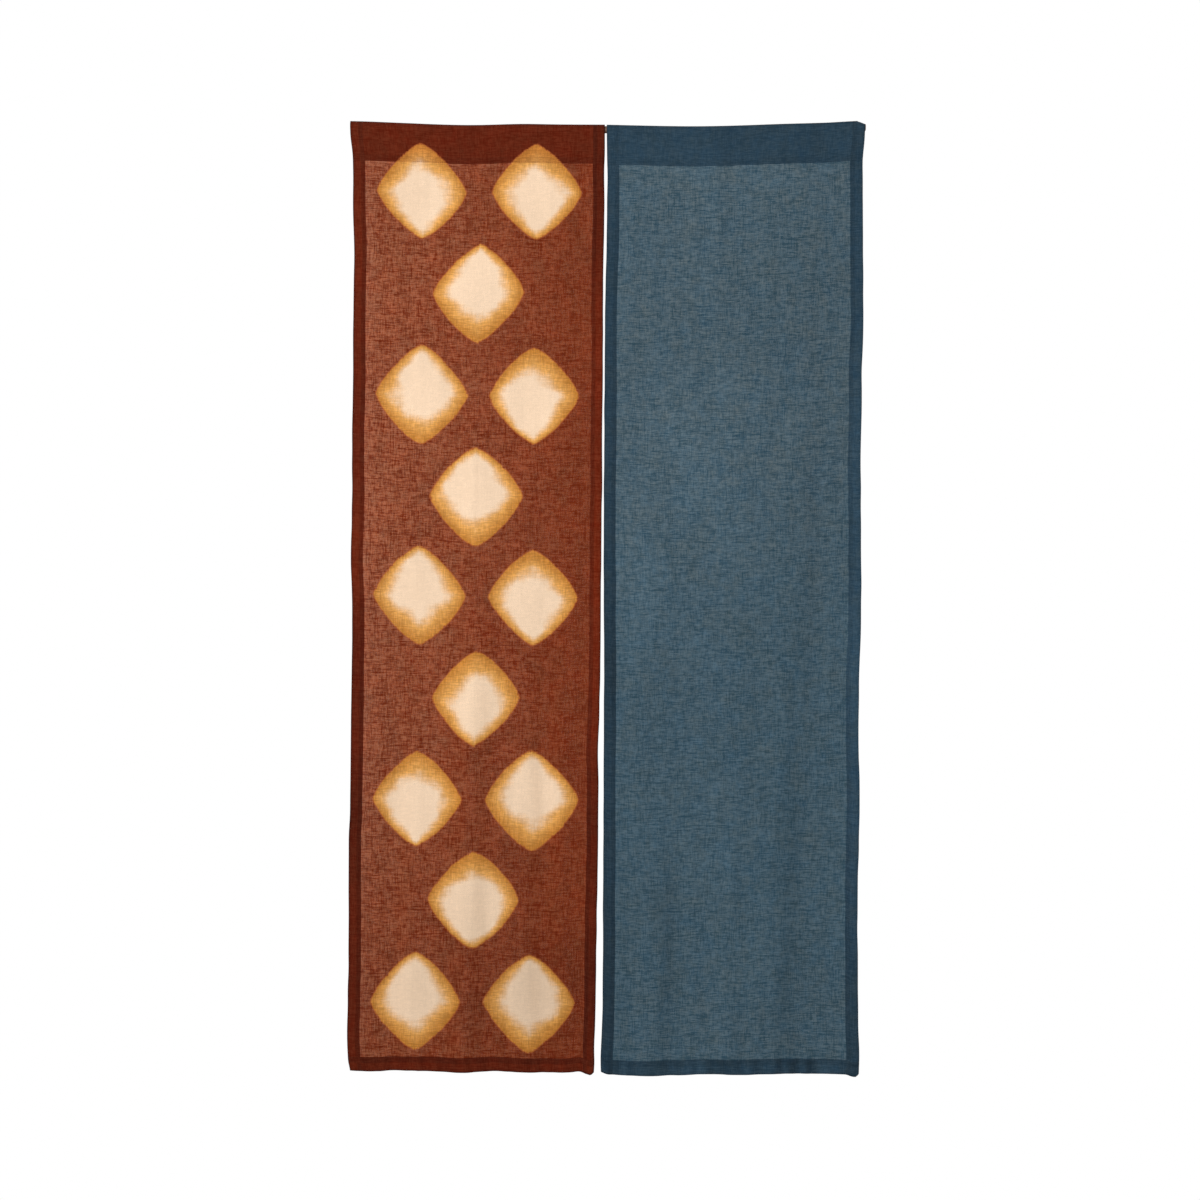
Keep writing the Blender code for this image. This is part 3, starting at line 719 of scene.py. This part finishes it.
# ---------------------------------------------------------------- meshes
def place_object(name, data):
    """A new object in the scene, with this mesh, lamp or camera."""
    obj = bpy.data.objects.new(name, data)
    bpy.context.scene.collection.objects.link(obj)
    return obj


def new_object(name, points, faces, material):
    """A smooth-shaded mesh object at the origin."""
    mesh = bpy.data.meshes.new(name)
    mesh.from_pydata(points.tolist(), [], faces)
    mesh.update()
    mesh.shade_smooth()
    mesh.materials.append(material)
    return place_object(name, mesh)


def grid_faces(row_count, column_count, round_columns=False):
    """Four-sided faces between neighbouring rows and columns of a grid, closed round it if asked."""
    at = np.arange(row_count * column_count).reshape(row_count, column_count)
    if round_columns:
        at = np.concatenate([at, at[:, :1]], axis=1)
    corners = [at[:-1, :-1], at[1:, :-1], at[1:, 1:], at[:-1, 1:]]
    return np.stack(corners, axis=-1).reshape(-1, 4).tolist()


def cloth_object(panel, cloth, material):
    """The panel's sheet, with its place on the flat cut as a UV map in metres, and a number on every
    vertex for each thing that the material reads."""
    faces = grid_faces(*cloth.points.shape[:2])
    obj = new_object(panel.name + "_cloth", cloth.points.reshape(-1, 3), faces, material)
    mesh = obj.data
    corners = np.zeros(len(mesh.loops), np.int32)
    mesh.loops.foreach_get("vertex_index", corners)
    layer = mesh.uv_layers.new(name="cloth")
    layer.uv.foreach_set("vector", cloth.flat.reshape(-1, 2)[corners].astype(np.float32).ravel())
    for name in PAINTED:
        attribute = mesh.attributes.new(name, "FLOAT", "POINT")
        attribute.data.foreach_set("value", getattr(cloth, name).astype(np.float32).ravel())
    solidify = obj.modifiers.new("thickness", "SOLIDIFY")
    solidify.thickness = CLOTH_THICKNESS
    solidify.offset = 0
    return obj


# ---------------------------------------------------------------- stitching
def stitch_run(points, normals):
    """Middles, directions and outward normals of the stitches along a line of points."""
    along = length_along(np.linalg.norm(np.diff(points, axis=0), axis=1))
    at = np.arange(STITCH_PITCH / 2, along[-1] - STITCH_PITCH / 2, STITCH_PITCH)

    def read(values, places):
        return np.stack([np.interp(places, along, values[:, k]) for k in range(3)], axis=-1)

    direction = read(points, at + STITCH_LENGTH / 2) - read(points, at - STITCH_LENGTH / 2)
    return read(points, at), direction, read(normals, at)


def stitches_object(name, runs, material):
    """All stitches of a panel as one mesh: each a thread whose line is a low arch, 1 - t^2, out of the
    cloth, with rings of a few sides that narrow to a point at both ends."""
    middle, along, out = (np.concatenate([run[k] for run in runs]) for k in range(3))
    length = np.linalg.norm(along, axis=1, keepdims=True)
    along = along / length
    out = out / np.linalg.norm(out, axis=1, keepdims=True)
    side = np.cross(along, out)
    turn = whole_turn(THREAD_SIDES)[:, None]
    ring = side[:, None] * np.cos(turn) + out[:, None] * np.sin(turn)
    points = []
    for t, fullness in zip(THREAD_PLACES, THREAD_FULLNESS):
        rise = CLOTH_THICKNESS / 2 + THREAD_RADIUS * (THREAD_ARCH * (1 - t * t) - THREAD_SUNK)
        here = (middle + along * (t * length / 2) + out * rise)[:, None]
        points.append(here + THREAD_RADIUS * fullness * ring if fullness else here)
    points = np.concatenate(points, axis=1)
    per_stitch = points.shape[1]
    a = np.arange(THREAD_SIDES)
    b = (a + 1) % THREAD_SIDES
    first = 1 + np.arange(len(THREAD_PLACES) - 2)[:, None] * THREAD_SIDES
    quads = np.stack([first[:-1] + a, first[:-1] + b, first[1:] + b, first[1:] + a], axis=-1)
    tips = np.concatenate([
        np.stack([np.zeros_like(a), 1 + b, 1 + a], axis=-1),
        np.stack([np.full_like(a, per_stitch - 1), first[-1] + a, first[-1] + b], axis=-1),
    ])
    start = np.arange(len(middle))[:, None, None] * per_stitch
    faces = [face for kind in (quads.reshape(-1, 4), tips)
             for face in (start + kind).reshape(-1, kind.shape[1]).tolist()]
    return new_object(name, points.reshape(-1, 3), faces, material)


def panel_stitches(panel, cloth, material):
    """Stitches along the side hems, front and back, the bottom hem and the heading's seam."""
    strip = cloth.strip
    seen = by_row(cloth.blocks, "seen") == 1
    names = by_row(cloth.blocks, "name")
    on_seam = np.isclose(strip.place, SIDE_HEM - STITCH_INSET) & (strip.anchor != 0)
    runs = []
    for column in np.flatnonzero(on_seam):
        chosen = seen if strip.front[column] else names == "body"
        runs.append(stitch_run(cloth.points[chosen, column], cloth.normals[chosen, column]))
    front = np.flatnonzero(strip.front == 1)
    for row in np.flatnonzero((names == "seam") | (names == "hem")):
        runs.append(stitch_run(cloth.points[row, front], cloth.normals[row, front]))
    return stitches_object(panel.name + "_stitches", runs, material)


# ---------------------------------------------------------------- the rod
def rod_object(material):
    """A round stick along the bent line, with rounded ends and a slightly uneven, whittled surface.

    Each ring lies in a plane x = constant. At an end the radius falls as a quarter circle, and the last
    ring is as small as a point and has a face of its own, so the ends are closed.
    """
    bend = np.linspace(0, pi / 2, ROD_END_STEPS)
    end_inset = ROD_END_ROUND * (1 - np.sin(bend))
    end_radius = ROD_RADIUS - ROD_END_ROUND + ROD_END_ROUND * np.cos(bend)
    body = np.linspace(ROD_LEFT + ROD_END_ROUND, ROD_RIGHT - ROD_END_ROUND, ROD_STATIONS)[1:-1]
    cap_radius = np.array([ROD_RADIUS / 2, ROD_TIP])
    x = np.concatenate([[ROD_LEFT] * 2, ROD_LEFT + end_inset[::-1], body,
                        ROD_RIGHT - end_inset, [ROD_RIGHT] * 2])
    radius = np.concatenate([
        cap_radius[::-1], end_radius[::-1], np.full(len(body), ROD_RADIUS), end_radius, cap_radius])
    turn = whole_turn(ROD_SIDES)
    waver = 0.0
    random = np.random.default_rng(5)
    for lobes in (2, 3, 5):
        phase = 2 * pi * random.uniform() + WHITTLE_TURN * uneven(50 + lobes, x, WHITTLE_PITCH)
        waver = waver + np.cos(lobes * turn[None, :] + phase[:, None]) / 3
    full = radius[:, None] * (1 + ROD_UNEVEN / ROD_RADIUS * (waver - 1))
    y = full * np.cos(turn)
    z = rod_height(x)[:, None] + full * np.sin(turn)
    points = np.stack([np.broadcast_to(x[:, None], y.shape), y, z], axis=-1).reshape(-1, 3)
    faces = [face[::-1] for face in grid_faces(len(x), ROD_SIDES, round_columns=True)]
    first_ring, last_ring = list(range(ROD_SIDES)), list(range(len(points) - ROD_SIDES, len(points)))
    faces += [first_ring[::-1], last_ring]
    obj = new_object("rod_stick", points, faces, material)
    obj.data.set_sharp_from_angle(angle=pi / 4)
    return obj


# ---------------------------------------------------------------- node trees
class Term:
    """A number in a node tree. Terms and plain numbers take the usual signs, each a Math node."""

    def __init__(self, graph, socket):
        self.graph = graph
        self.socket = socket

    def __add__(self, other):
        return self.graph.math("ADD", self, other)

    def __sub__(self, other):
        return self.graph.math("SUBTRACT", self, other)

    def __rsub__(self, other):
        return self.graph.math("SUBTRACT", other, self)

    def __mul__(self, other):
        return self.graph.math("MULTIPLY", self, other)

    def __truediv__(self, other):
        return self.graph.math("DIVIDE", self, other)

    def __pow__(self, other):
        return self.graph.math("POWER", self, other)

    def __abs__(self):
        return self.graph.math("ABSOLUTE", self)


class Graph:
    """Adds nodes to one node tree. Its calls take plain values, sockets and terms. What makes a number
    returns a term, and what makes a colour or a vector returns a socket."""

    def __init__(self, tree):
        self.tree = tree

    def node(self, kind, inputs=None, **settings):
        """Add a node, set its own settings and feed its inputs, given by name or number."""
        made = self.tree.nodes.new(kind)
        for name, value in settings.items():
            setattr(made, name, value)
        self.feed(made, inputs or {})
        return made

    def feed(self, node, inputs):
        """Link each input of a node to what it is given, or set it to a plain value."""
        for name, value in inputs.items():
            value = value.socket if isinstance(value, Term) else value
            if isinstance(value, bpy.types.NodeSocket):
                self.tree.links.new(value, node.inputs[name])
            else:
                node.inputs[name].default_value = value

    def terms(self, node):
        """A node's outputs by name, as terms."""
        return {socket.name: Term(self, socket) for socket in node.outputs}

    def group(self, tree, inputs):
        """A node group, placed and fed: returns what it puts out."""
        return self.terms(self.node("ShaderNodeGroup", inputs, node_tree=tree))

    def math(self, operation, *values, clamp=False):
        """A Math node."""
        made = self.node("ShaderNodeMath", dict(enumerate(values)), operation=operation,
                         use_clamp=clamp)
        return Term(self, made.outputs[0])

    def join(self, x, y, z=0.0):
        """Three numbers as a vector."""
        return self.node("ShaderNodeCombineXYZ", {0: x, 1: y, 2: z}).outputs[0]

    def split(self, vector):
        """The three numbers of a vector."""
        return [Term(self, part) for part in self.node("ShaderNodeSeparateXYZ", {0: vector}).outputs]

    def object_place(self):
        """Where a point lies on its object, as three numbers in metres."""
        return self.split(self.node("ShaderNodeTexCoord").outputs["Object"])

    def painted(self, name):
        """A number that is painted on the mesh."""
        return Term(self, self.node("ShaderNodeAttribute", attribute_name=name).outputs["Fac"])

    def noise(self, x, y, z=0.0, detail=2.0, roughness=0.5):
        """Perlin noise between 0 and 1, with features about one unit across: along a length in metres
        times 60 there are sixty to the metre. Another z is another pattern."""
        made = self.node("ShaderNodeTexNoise", {
            "Vector": self.join(x, y, z), "Scale": 1.0, "Detail": detail, "Roughness": roughness})
        return Term(self, made.outputs[0])

    def range(self, value, low, high, start=0.0, end=1.0, kind="LINEAR"):
        """Start at low, end at high and a straight line between, held at both ends."""
        made = self.node("ShaderNodeMapRange", {0: value, 1: low, 2: high, 3: start, 4: end},
                         interpolation_type=kind)
        return Term(self, made.outputs[0])

    def step(self, value, low, high, start=0.0, end=1.0):
        """Start below low, end above high and a smooth rise between."""
        return self.range(value, low, high, start, end, kind="SMOOTHSTEP")

    def blend(self, share, first, second):
        """A blend of two numbers."""
        return Term(self, self.node("ShaderNodeMix", {0: share, 2: first, 3: second}).outputs[0])

    def mix(self, share, first, second):
        """A blend of two colours."""
        pair = [(*c, 1.0) if isinstance(c, tuple) else c for c in (first, second)]
        made = self.node("ShaderNodeMix", {0: share, 6: pair[0], 7: pair[1]}, data_type="RGBA")
        return made.outputs[2]

    def tint(self, colour, red, green, blue):
        """A colour with each of its channels times a number."""
        factors = self.join(red, green, blue)
        made = self.node("ShaderNodeVectorMath", {0: colour, 1: factors}, operation="MULTIPLY")
        return made.outputs[0]

    def bump(self, height, distance, strength=1.0):
        """A normal from a height, whose whole range stands distance metres high."""
        made = self.node("ShaderNodeBump", {
            "Height": height, "Distance": distance, "Strength": strength})
        return made.outputs[0]


def new_group(name, takes, gives):
    """An empty node group that takes one vector, then numbers, and gives numbers: its graph, what it is
    given, and the node to feed its results to."""
    tree = bpy.data.node_groups.new(name, "ShaderNodeTree")
    for label in takes:
        kind = "NodeSocketVector" if label == takes[0] else "NodeSocketFloat"
        tree.interface.new_socket(label, in_out="INPUT", socket_type=kind)
    for label in gives:
        tree.interface.new_socket(label, in_out="OUTPUT", socket_type="NodeSocketFloat")
    graph = Graph(tree)
    given = graph.terms(graph.node("NodeGroupInput"))
    return graph, given, graph.node("NodeGroupOutput")


# The weave. Numbers to the metre are along a yarn.
YARN_PITCH = 0.00082
WANDER_TO_METRE = 22.0        # the yarns' paths wander
WANDER = 1.6                  # by this many yarns in all
THICKNESS_TO_METRE = 86.0     # thick and thin places of a yarn
EVEN_YARN = 0.514             # thickness that counts as neither thick nor thin
SLUBS_TO_METRE = 29.0         # long thick places
SLUB_STARTS = 0.60, 0.78      # the noise below which there is none, and above which it is whole
SLUB_RISE = 0.24
GAP_SPREAD = 0.7              # how much thin yarns widen a gap
GAP_SOFT = 0.04               # half width of a gap's soft border, in yarns
YARN_TOP = 0.65               # middle height of a yarn's top
CRIMP = 0.35                  # and how far it goes up and down from there


def weave_group():
    """Plain weave of uneven yarns over a flat place in metres.

    Yarn number = whole part of place / pitch. A yarn's thickness is noise that is drawn out along it
    and jumps from yarn to yarn. Thin is high where both yarns are thin: t (0.85 + 0.33 t) of their mean
    t. A gap is open where a point lies outside the width of the warp yarn and of the weft yarn. Relief
    is the higher of the two yarns, each a round section that goes over and under the other in turn.
    """
    graph, given, result = new_group(
        "linen_weave", ["Place", "Pitch", "Slub", "Weft Share", "Open"], ["Thin", "Gap", "Relief"])
    u, v, _ = graph.split(given["Place"])
    wide = u * WANDER_TO_METRE, v * WANDER_TO_METRE
    p, q = (place / given["Pitch"] + (graph.noise(*wide, seed) * WANDER - WANDER / 2)
            for place, seed in ((u, 1.7), (v, 6.2)))
    i, j = graph.math("FLOOR", p), graph.math("FLOOR", q)
    thin = []
    for index, along, seed in ((i, v, 3.7), (j, u, 19.3)):
        thickness = graph.noise(index * 0.61, along * THICKNESS_TO_METRE, seed)
        slub = graph.noise(index * 1.37, along * SLUBS_TO_METRE, seed + 5.0, detail=0.0)
        thickness = thickness + graph.step(slub, *SLUB_STARTS, 0.0, SLUB_RISE)
        thin.append((EVEN_YARN - thickness) * given["Slub"])
    both = graph.math("ADD", graph.blend(given["Weft Share"], *thin), 0.5, clamp=True)

    gaps, sections = [], []
    for place, spare in zip((p, q), thin):
        off = abs(graph.math("FRACT", place) * 2.0 - 1.0)
        edge = 1.0 - (spare * GAP_SPREAD + 1.0) * given["Open"]
        gaps.append(graph.step(off, edge - GAP_SOFT, edge + GAP_SOFT))
        sections.append(graph.math("SQRT", graph.math("SUBTRACT", 1.0, off * off, clamp=True)))
    warp = sections[0] * (graph.math("SINE", (q - i) * pi) * CRIMP + YARN_TOP)
    weft = sections[1] * (graph.math("SINE", (p - j) * pi) * -CRIMP + YARN_TOP)
    graph.feed(result, {"Thin": both * (both * 0.33 + 0.85), "Gap": gaps[0] * gaps[1],
                        "Relief": graph.math("MAXIMUM", warp, weft)})
    return graph.tree


def dye_group():
    """Uneven dye: wide clouds and long upright streaks of noise, as a number round 0.5, and blotches of
    all sizes, also round 0.5, where the dye leans to red or to blue."""
    graph, given, result = new_group("dye_clouds", ["Place"], ["Tone", "Hue"])
    u, v, _ = graph.split(given["Place"])
    clouds = graph.noise(u * 11.0, v * 7.0, 5.1)
    streaks = graph.noise(u * 60.0, v * 3.5, 8.6)
    specks = graph.noise(u * 210.0, v * 160.0, 2.2)
    blotches = graph.noise(u * 36.0, v * 30.0, 12.4, detail=4.0, roughness=0.85)
    graph.feed(result, {"Tone": clouds * 0.45 + streaks * 0.35 + specks * 0.20, "Hue": blotches})
    return graph.tree


# The lozenges' rims and their ochre. Lengths are shares of a lozenge's half size.
RIM_RAGGED = 0.03             # how far fine noise shifts the rim
RIM_WAVY = 0.06               # how far coarse noise does
RIM_DRAWN = 0.022             # and how far the dye is drawn in along single yarns
RIM_SOFT = 0.012              # half width of the rim's soft border
RUSTY_PLACE = 1.004           # where the thin rusty line lies
RUSTY_REACH = 0.026
OCHRE_SLOPE = 0.75            # how much deeper the ochre creeps in on one side
OCHRE_STARTS = 1.45, 0.55     # its soft border, as shares of how deep it creeps
DEEP_OCHRE_START = 0.75


def marks_group():
    """Lozenges left pale by clamped boards, in rows of two and one in turn.

    Off = (|dx / half width|^n + |dy / half height|^n)^(1/n) is 1 on a lozenge's rim. Noise makes the
    rim ragged, and yarns that drew the dye in leave short straight lines across it. Bare is 1 inside
    the rim. Ochre creeps in from the rim, deep on one side of a mark and hardly at all on the other,
    and is deeper in colour near the rim. Rim is the thin rusty line where the dye stopped.
    """
    graph, given, result = new_group("resist_marks", ["Place"], ["Bare", "Ochre", "Deep Ochre", "Rim"])
    u, v, _ = graph.split(given["Place"])

    def speckle(across, down, seed, detail=2.0):
        return graph.noise(u * across, v * down, seed, detail=detail)

    from_first = (v - MARK_FIRST) / MARK_PITCH
    row = graph.math("FLOOR", from_first + 0.5)
    single = graph.math("FLOORED_MODULO", row, 2.0)
    side = graph.math("SIGN", u) * (1.0 - single)
    chance = graph.node("ShaderNodeTexWhiteNoise", {"Vector": graph.join(row, side, 4.0)})
    chance = graph.split(chance.outputs["Color"])
    dx = u - side * MARK_ASIDE + (chance[0] - 0.5) * MARK_WANDER
    dy = (from_first - row) * MARK_PITCH + (chance[1] - 0.5) * MARK_WANDER
    size = chance[2] * MARK_SIZE_RANGE + (1.0 - MARK_SIZE_RANGE / 2)
    across, down = ((abs(offset) / (size * half)) ** MARK_ROUNDNESS
                    for offset, half in ((dx, MARK_HALF_WIDTH), (dy, MARK_HALF_HEIGHT)))
    off = (across + down) ** (1 / MARK_ROUNDNESS)
    off = off + (speckle(420.0, 420.0, 1.3) - 0.5) * RIM_RAGGED
    off = off + (speckle(38.0, 38.0, 6.4) - 0.5) * RIM_WAVY
    drawn_in = (graph.step(speckle(85.0, 700.0, 3.1, detail=0.0), 0.60, 0.80)
                + graph.step(speckle(700.0, 85.0, 7.7, detail=0.0), 0.60, 0.80))
    ragged = off + drawn_in * RIM_DRAWN
    in_rows = graph.math("GREATER_THAN", row, -0.5) * graph.math("LESS_THAN", row, MARK_ROWS - 0.5)

    way = graph.math("GREATER_THAN", chance[2], 0.42) * 2.0 - 1.0
    slope = dy / MARK_HALF_HEIGHT * way + dx / MARK_HALF_WIDTH * (chance[0] * 0.9 - 0.45)
    creep = (speckle(24.0, 30.0, 9.9, detail=3.0) * 0.7
             + (speckle(40.0, 500.0, 2.6) * 0.15 + speckle(500.0, 40.0, 5.8) * 0.15))
    depth = (slope * OCHRE_SLOPE + 1.0) * creep * (2 * SEEP_DEPTH / MARK_HALF_WIDTH)
    inside = 1.0 - off
    graph.feed(result, {
        "Bare": graph.step(ragged, 1.0 + RIM_SOFT, 1.0 - RIM_SOFT) * in_rows,
        "Ochre": graph.step(inside, *(depth * share for share in OCHRE_STARTS)),
        "Deep Ochre": graph.step(inside, depth * DEEP_OCHRE_START, 0.0),
        "Rim": graph.step(abs(ragged - RUSTY_PLACE), RUSTY_REACH, 0.0) * in_rows})
    return graph.tree


WEAVE = weave_group()
DYE = dye_group()


def new_material(name):
    """A material: returns it, its graph and its Principled BSDF."""
    material = bpy.data.materials.new(name)
    material.use_nodes = True
    return material, Graph(material.node_tree), material.node_tree.nodes["Principled BSDF"]


# The linen's finish.
HUE_SWING = 0.65              # how far the dye leans to red or to blue
BLUE_SWING = -0.65            # the blue channel goes the other way, by this share of it
DYE_SWING = 0.42              # how much the dye's clouds show in one layer
FOLDED_DYE_SWING = 0.18       # and in several
GAP_IN_DIM = 0.8              # the gaps' width with little light behind, as a share of the stated one
GAP_IN_GLOW = 0.4             # and how much wider they look in bright light
FOLDED_MARK_SHADE = 0.25           # painted shade: how far the pale marks darken towards the rusty seep colour where the cloth is folded
CREAM_YARNS = 0.95, 0.10      # tone of the cream's thickest yarns, and how much lighter thin ones are
OCHRE_YARNS = 0.79, 0.42
RUSTY_SHARE = 0.62            # how strong the thin rusty line is
WEAVE_DEPTH = 0.00012


def linen_material(name, linen, marks=None):
    """Sheer linen. One layer takes a colour between thick and thin yarns, painted lighter where light
    behind it or beside a seam comes through, and shows the light behind it through its gaps. Where it
    is folded no light comes through, so its colour is painted darker and more even, and the layers at
    the back are closed."""
    material, graph, shader = new_material(name)
    place = graph.node("ShaderNodeUVMap", uv_map="cloth").outputs["UV"]
    behind, tone, lit, glow, back = (graph.painted(value) for value in PAINTED)
    several = graph.math("MULTIPLY", behind, 1.0, clamp=True)
    weave = graph.group(WEAVE, {
        "Place": place, "Pitch": YARN_PITCH, "Slub": linen.slub, "Weft Share": linen.weft_share,
        "Open": (glow * GAP_IN_GLOW + GAP_IN_DIM) * linen.open})
    dye = graph.group(DYE, {"Place": place})

    thin = weave["Thin"]
    # painted light and shade: one layer is lighter with the glow behind it and the lit colour beside a
    # seam, and folded layers take darker colours
    one_layer = graph.mix(thin, linen.thick, graph.mix(glow, linen.thin, linen.bright))
    layers = graph.mix(thin, linen.folded_thick, linen.folded_thin)
    colour = graph.mix(several, graph.mix(lit, one_layer, linen.lit), layers)
    hue = (dye["Hue"] - 0.5) * HUE_SWING
    colour = graph.tint(colour, hue + 1.0, 1.0, hue * BLUE_SWING + 1.0)
    if marks is not None:
        mark = graph.group(marks, {"Place": place})
        ochre = mark["Ochre"]
        pale = graph.mix(mark["Deep Ochre"], graph.mix(ochre, CREAM, OCHRE), DEEP_OCHRE)
        # painted shade: where the cloth is folded the pale marks darken towards the rusty seep colour
        pale = graph.mix(several * FOLDED_MARK_SHADE, pale, SEEP)
        thick_tone, rise = (graph.blend(ochre, *pair) for pair in zip(CREAM_YARNS, OCHRE_YARNS))
        yarns = thin * rise + thick_tone
        colour = graph.mix(mark["Bare"], colour, graph.tint(pale, yarns, yarns, yarns))
        colour = graph.mix(mark["Rim"] * RUSTY_SHARE, colour, SEEP)
    tone = tone * ((dye["Tone"] - 0.5) * graph.blend(several, DYE_SWING, FOLDED_DYE_SWING) + 1.0)
    graph.feed(shader, {
        "Base Color": graph.tint(colour, tone, tone, tone),
        "Roughness": thin * -0.10 + 0.96,
        "Alpha": 1.0 - weave["Gap"] * (1.0 - back),
        "Normal": graph.bump(weave["Relief"], WEAVE_DEPTH, 0.5),
        "Specular IOR Level": 0.12, "Sheen Weight": 0.03, "Sheen Roughness": 0.5})
    return material


def thread_material(name, colour):
    """Sewing thread: fine slanting twist lines and a slightly uneven colour."""
    material, graph, shader = new_material(name)
    x, y, z = graph.object_place()
    twist = graph.math("SINE", x * 9000.0 + z * 9000.0 + y * 4000.0)
    tone = twist * 0.10 + (graph.noise(x * 90.0, z * 90.0) + 0.5)
    dark, light = (tuple(factor * c for c in colour) for factor in (0.7, 1.3))
    graph.feed(shader, {
        "Base Color": graph.mix(graph.math("MULTIPLY", tone, 0.5, clamp=True), dark, light),
        "Normal": graph.bump(twist, 0.00003, 0.6), "Roughness": 0.7, "Specular IOR Level": 0.2})
    return material


RING_CENTRE = (0.008, -0.004)           # y and z of the point that the rod's rings lie round
RING_TURN = 7000.0                      # radians to the metre, which makes a ring every 0.9 mm


def wood_material():
    """Dark oiled wood: noise drawn out along the rod as grain, fine pores, and on the cut ends rings
    round a point beside the rod."""
    material, graph, shader = new_material("oiled_wood")
    x, y, z = graph.object_place()

    def drawn_out(along, across, **kind):
        return graph.noise(x * along, y * across, z * across, **kind)

    grain = drawn_out(14.0, 900.0, detail=4.0, roughness=0.6)
    pores = drawn_out(120.0, 3500.0, detail=1.0)
    blotch = drawn_out(22.0, 60.0)
    tone = grain * 0.65 + blotch * 0.35
    long_grain = graph.mix(graph.range(tone, 0.32, 0.68), WOOD_DARK, WOOD_LIGHT)
    long_grain = graph.mix(graph.step(pores, 0.42, 0.30, 0.0, 0.5), long_grain, WOOD_DARK)
    aside, below = y - RING_CENTRE[0], z - RING_CENTRE[1]
    out = graph.math("SQRT", aside * aside + below * below)
    rings = graph.math("SINE", out * RING_TURN + blotch * 12.0)
    end_grain = graph.mix(graph.range(rings, -1.0, 1.0), WOOD_DARK, WOOD_END)
    middle = (ROD_LEFT + ROD_RIGHT) / 2
    at_end = graph.math("GREATER_THAN", abs(x - middle), ROD_RIGHT - middle - ROD_END_ROUND / 3)
    graph.feed(shader, {
        "Base Color": graph.mix(at_end, long_grain, end_grain),
        "Roughness": graph.range(tone, 0.3, 0.7, 0.42, 0.60),
        "Normal": graph.bump(grain + pores, 0.00006, 0.5), "Specular IOR Level": 0.4})
    return material


# ---------------------------------------------------------------- stage
PHOTO_SIDE = 1200                       # pixels
METRES_PER_PIXEL = 0.0015564            # at the curtain
LOOK_AT = (-0.01214, 0.0, -0.7318)      # the point at the picture's middle
LENS_MM = 85.0
SENSOR_MM = 36.0
FLOOR_Z = -1.95
FLOOR_RADIUS = 1.2
FLOOR_SIDES = 96
FLOOR_WHOLE = 0.35                      # it fades out from here to its rim, as a share of its radius
SKY_SEEN = 1.0                          # the white that the camera sees beside the cloth
SKY_THROUGH = 0.25                      # the same through the weave, dimmed by the yarns round a gap
SKY_LIGHT = 0.40                        # and how much light it sheds
# A soft square lamp: where it stands, what it points at, its side and its power.
Lamp = namedtuple("Lamp", "name place aim side power")
LAMPS = [
    Lamp("key_light", (-1.05, -2.3, -0.05), (0.0, 0.0, -0.3), 1.4, 48.0),
    Lamp("back_light", (1.8, 3.2, 0.3), (0.0, 0.0, -0.7), 2.0, 60.0),
]


def make_camera():
    """A straight front view whose width at the curtain is that of the photograph."""
    data = bpy.data.cameras.new("camera")
    data.lens = LENS_MM
    data.sensor_width = SENSOR_MM
    camera = place_object("camera", data)
    distance = PHOTO_SIDE * METRES_PER_PIXEL * LENS_MM / SENSOR_MM
    camera.location = Vector(LOOK_AT) + Vector((0, -distance, 0))
    camera.rotation_euler = (pi / 2, 0, 0)
    bpy.context.scene.camera = camera


def make_lamps():
    """Soft square lamps that the camera doesn't see."""
    for lamp in LAMPS:
        data = bpy.data.lights.new(lamp.name, "AREA")
        data.size = lamp.side
        data.energy = lamp.power
        obj = place_object(lamp.name, data)
        obj.location = lamp.place
        obj.rotation_euler = (Vector(lamp.aim) - Vector(lamp.place)).to_track_quat("-Z", "Y").to_euler()
        obj.visible_camera = False


def make_sky():
    """An even white all round, whiter to the camera than as a light."""
    world = bpy.data.worlds.new("white_studio")
    world.use_nodes = True
    graph = Graph(world.node_tree)
    sky = world.node_tree.nodes["Background"]
    path = graph.terms(graph.node("ShaderNodeLightPath"))
    through = graph.math("GREATER_THAN", path["Transparent Depth"], 0.5)
    seen = graph.blend(through, SKY_SEEN, SKY_THROUGH)
    graph.feed(sky, {"Color": (1.0, 1.0, 1.0, 1.0),
                     "Strength": graph.blend(path["Is Camera Ray"], SKY_LIGHT, seen)})
    bpy.context.scene.world = world


def make_floor():
    """A round pale floor that fades out towards its rim."""
    material, graph, shader = new_material("pale_floor")
    x, y, _ = graph.object_place()
    out = graph.math("SQRT", x ** 2.0 + y ** 2.0)
    graph.feed(shader, {"Base Color": (*FLOOR_WHITE, 1.0), "Roughness": 0.9,
                        "Alpha": graph.step(out, FLOOR_RADIUS, FLOOR_WHOLE * FLOOR_RADIUS)})
    turn = whole_turn(FLOOR_SIDES)
    rim = FLOOR_RADIUS * np.cos(turn), FLOOR_RADIUS * np.sin(turn), np.full(FLOOR_SIDES, FLOOR_Z)
    points = np.stack(rim, axis=-1)
    floor = new_object("floor", points, [list(range(FLOOR_SIDES))], material)


# ---------------------------------------------------------------- build
def make_panel(panel, linen, material, thread):
    """One panel with its stitches, riding on the part's one body."""
    cloth = panel_cloth(panel, linen)
    sheet = cloth_object(panel, cloth, material)
    stitches = panel_stitches(panel, cloth, thread)
    for piece in (sheet, stitches):
        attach(piece, "root")
    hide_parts(panel.name)


make_camera()
make_sky()
make_lamps()
make_floor()
stick = rod_object(wood_material())
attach(stick, "root")
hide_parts("rod")
make_panel(LEFT, RUST_LINEN, linen_material("rust_linen_cloth", RUST_LINEN, marks_group()),
           thread_material("rust_thread", RUST_THREAD))
make_panel(RIGHT, INDIGO_LINEN, linen_material("indigo_linen_cloth", INDIGO_LINEN),
           thread_material("indigo_thread", INDIGO_THREAD))

bpy.context.scene.view_settings.view_transform = "Standard"

bpy.context.view_layer.update()
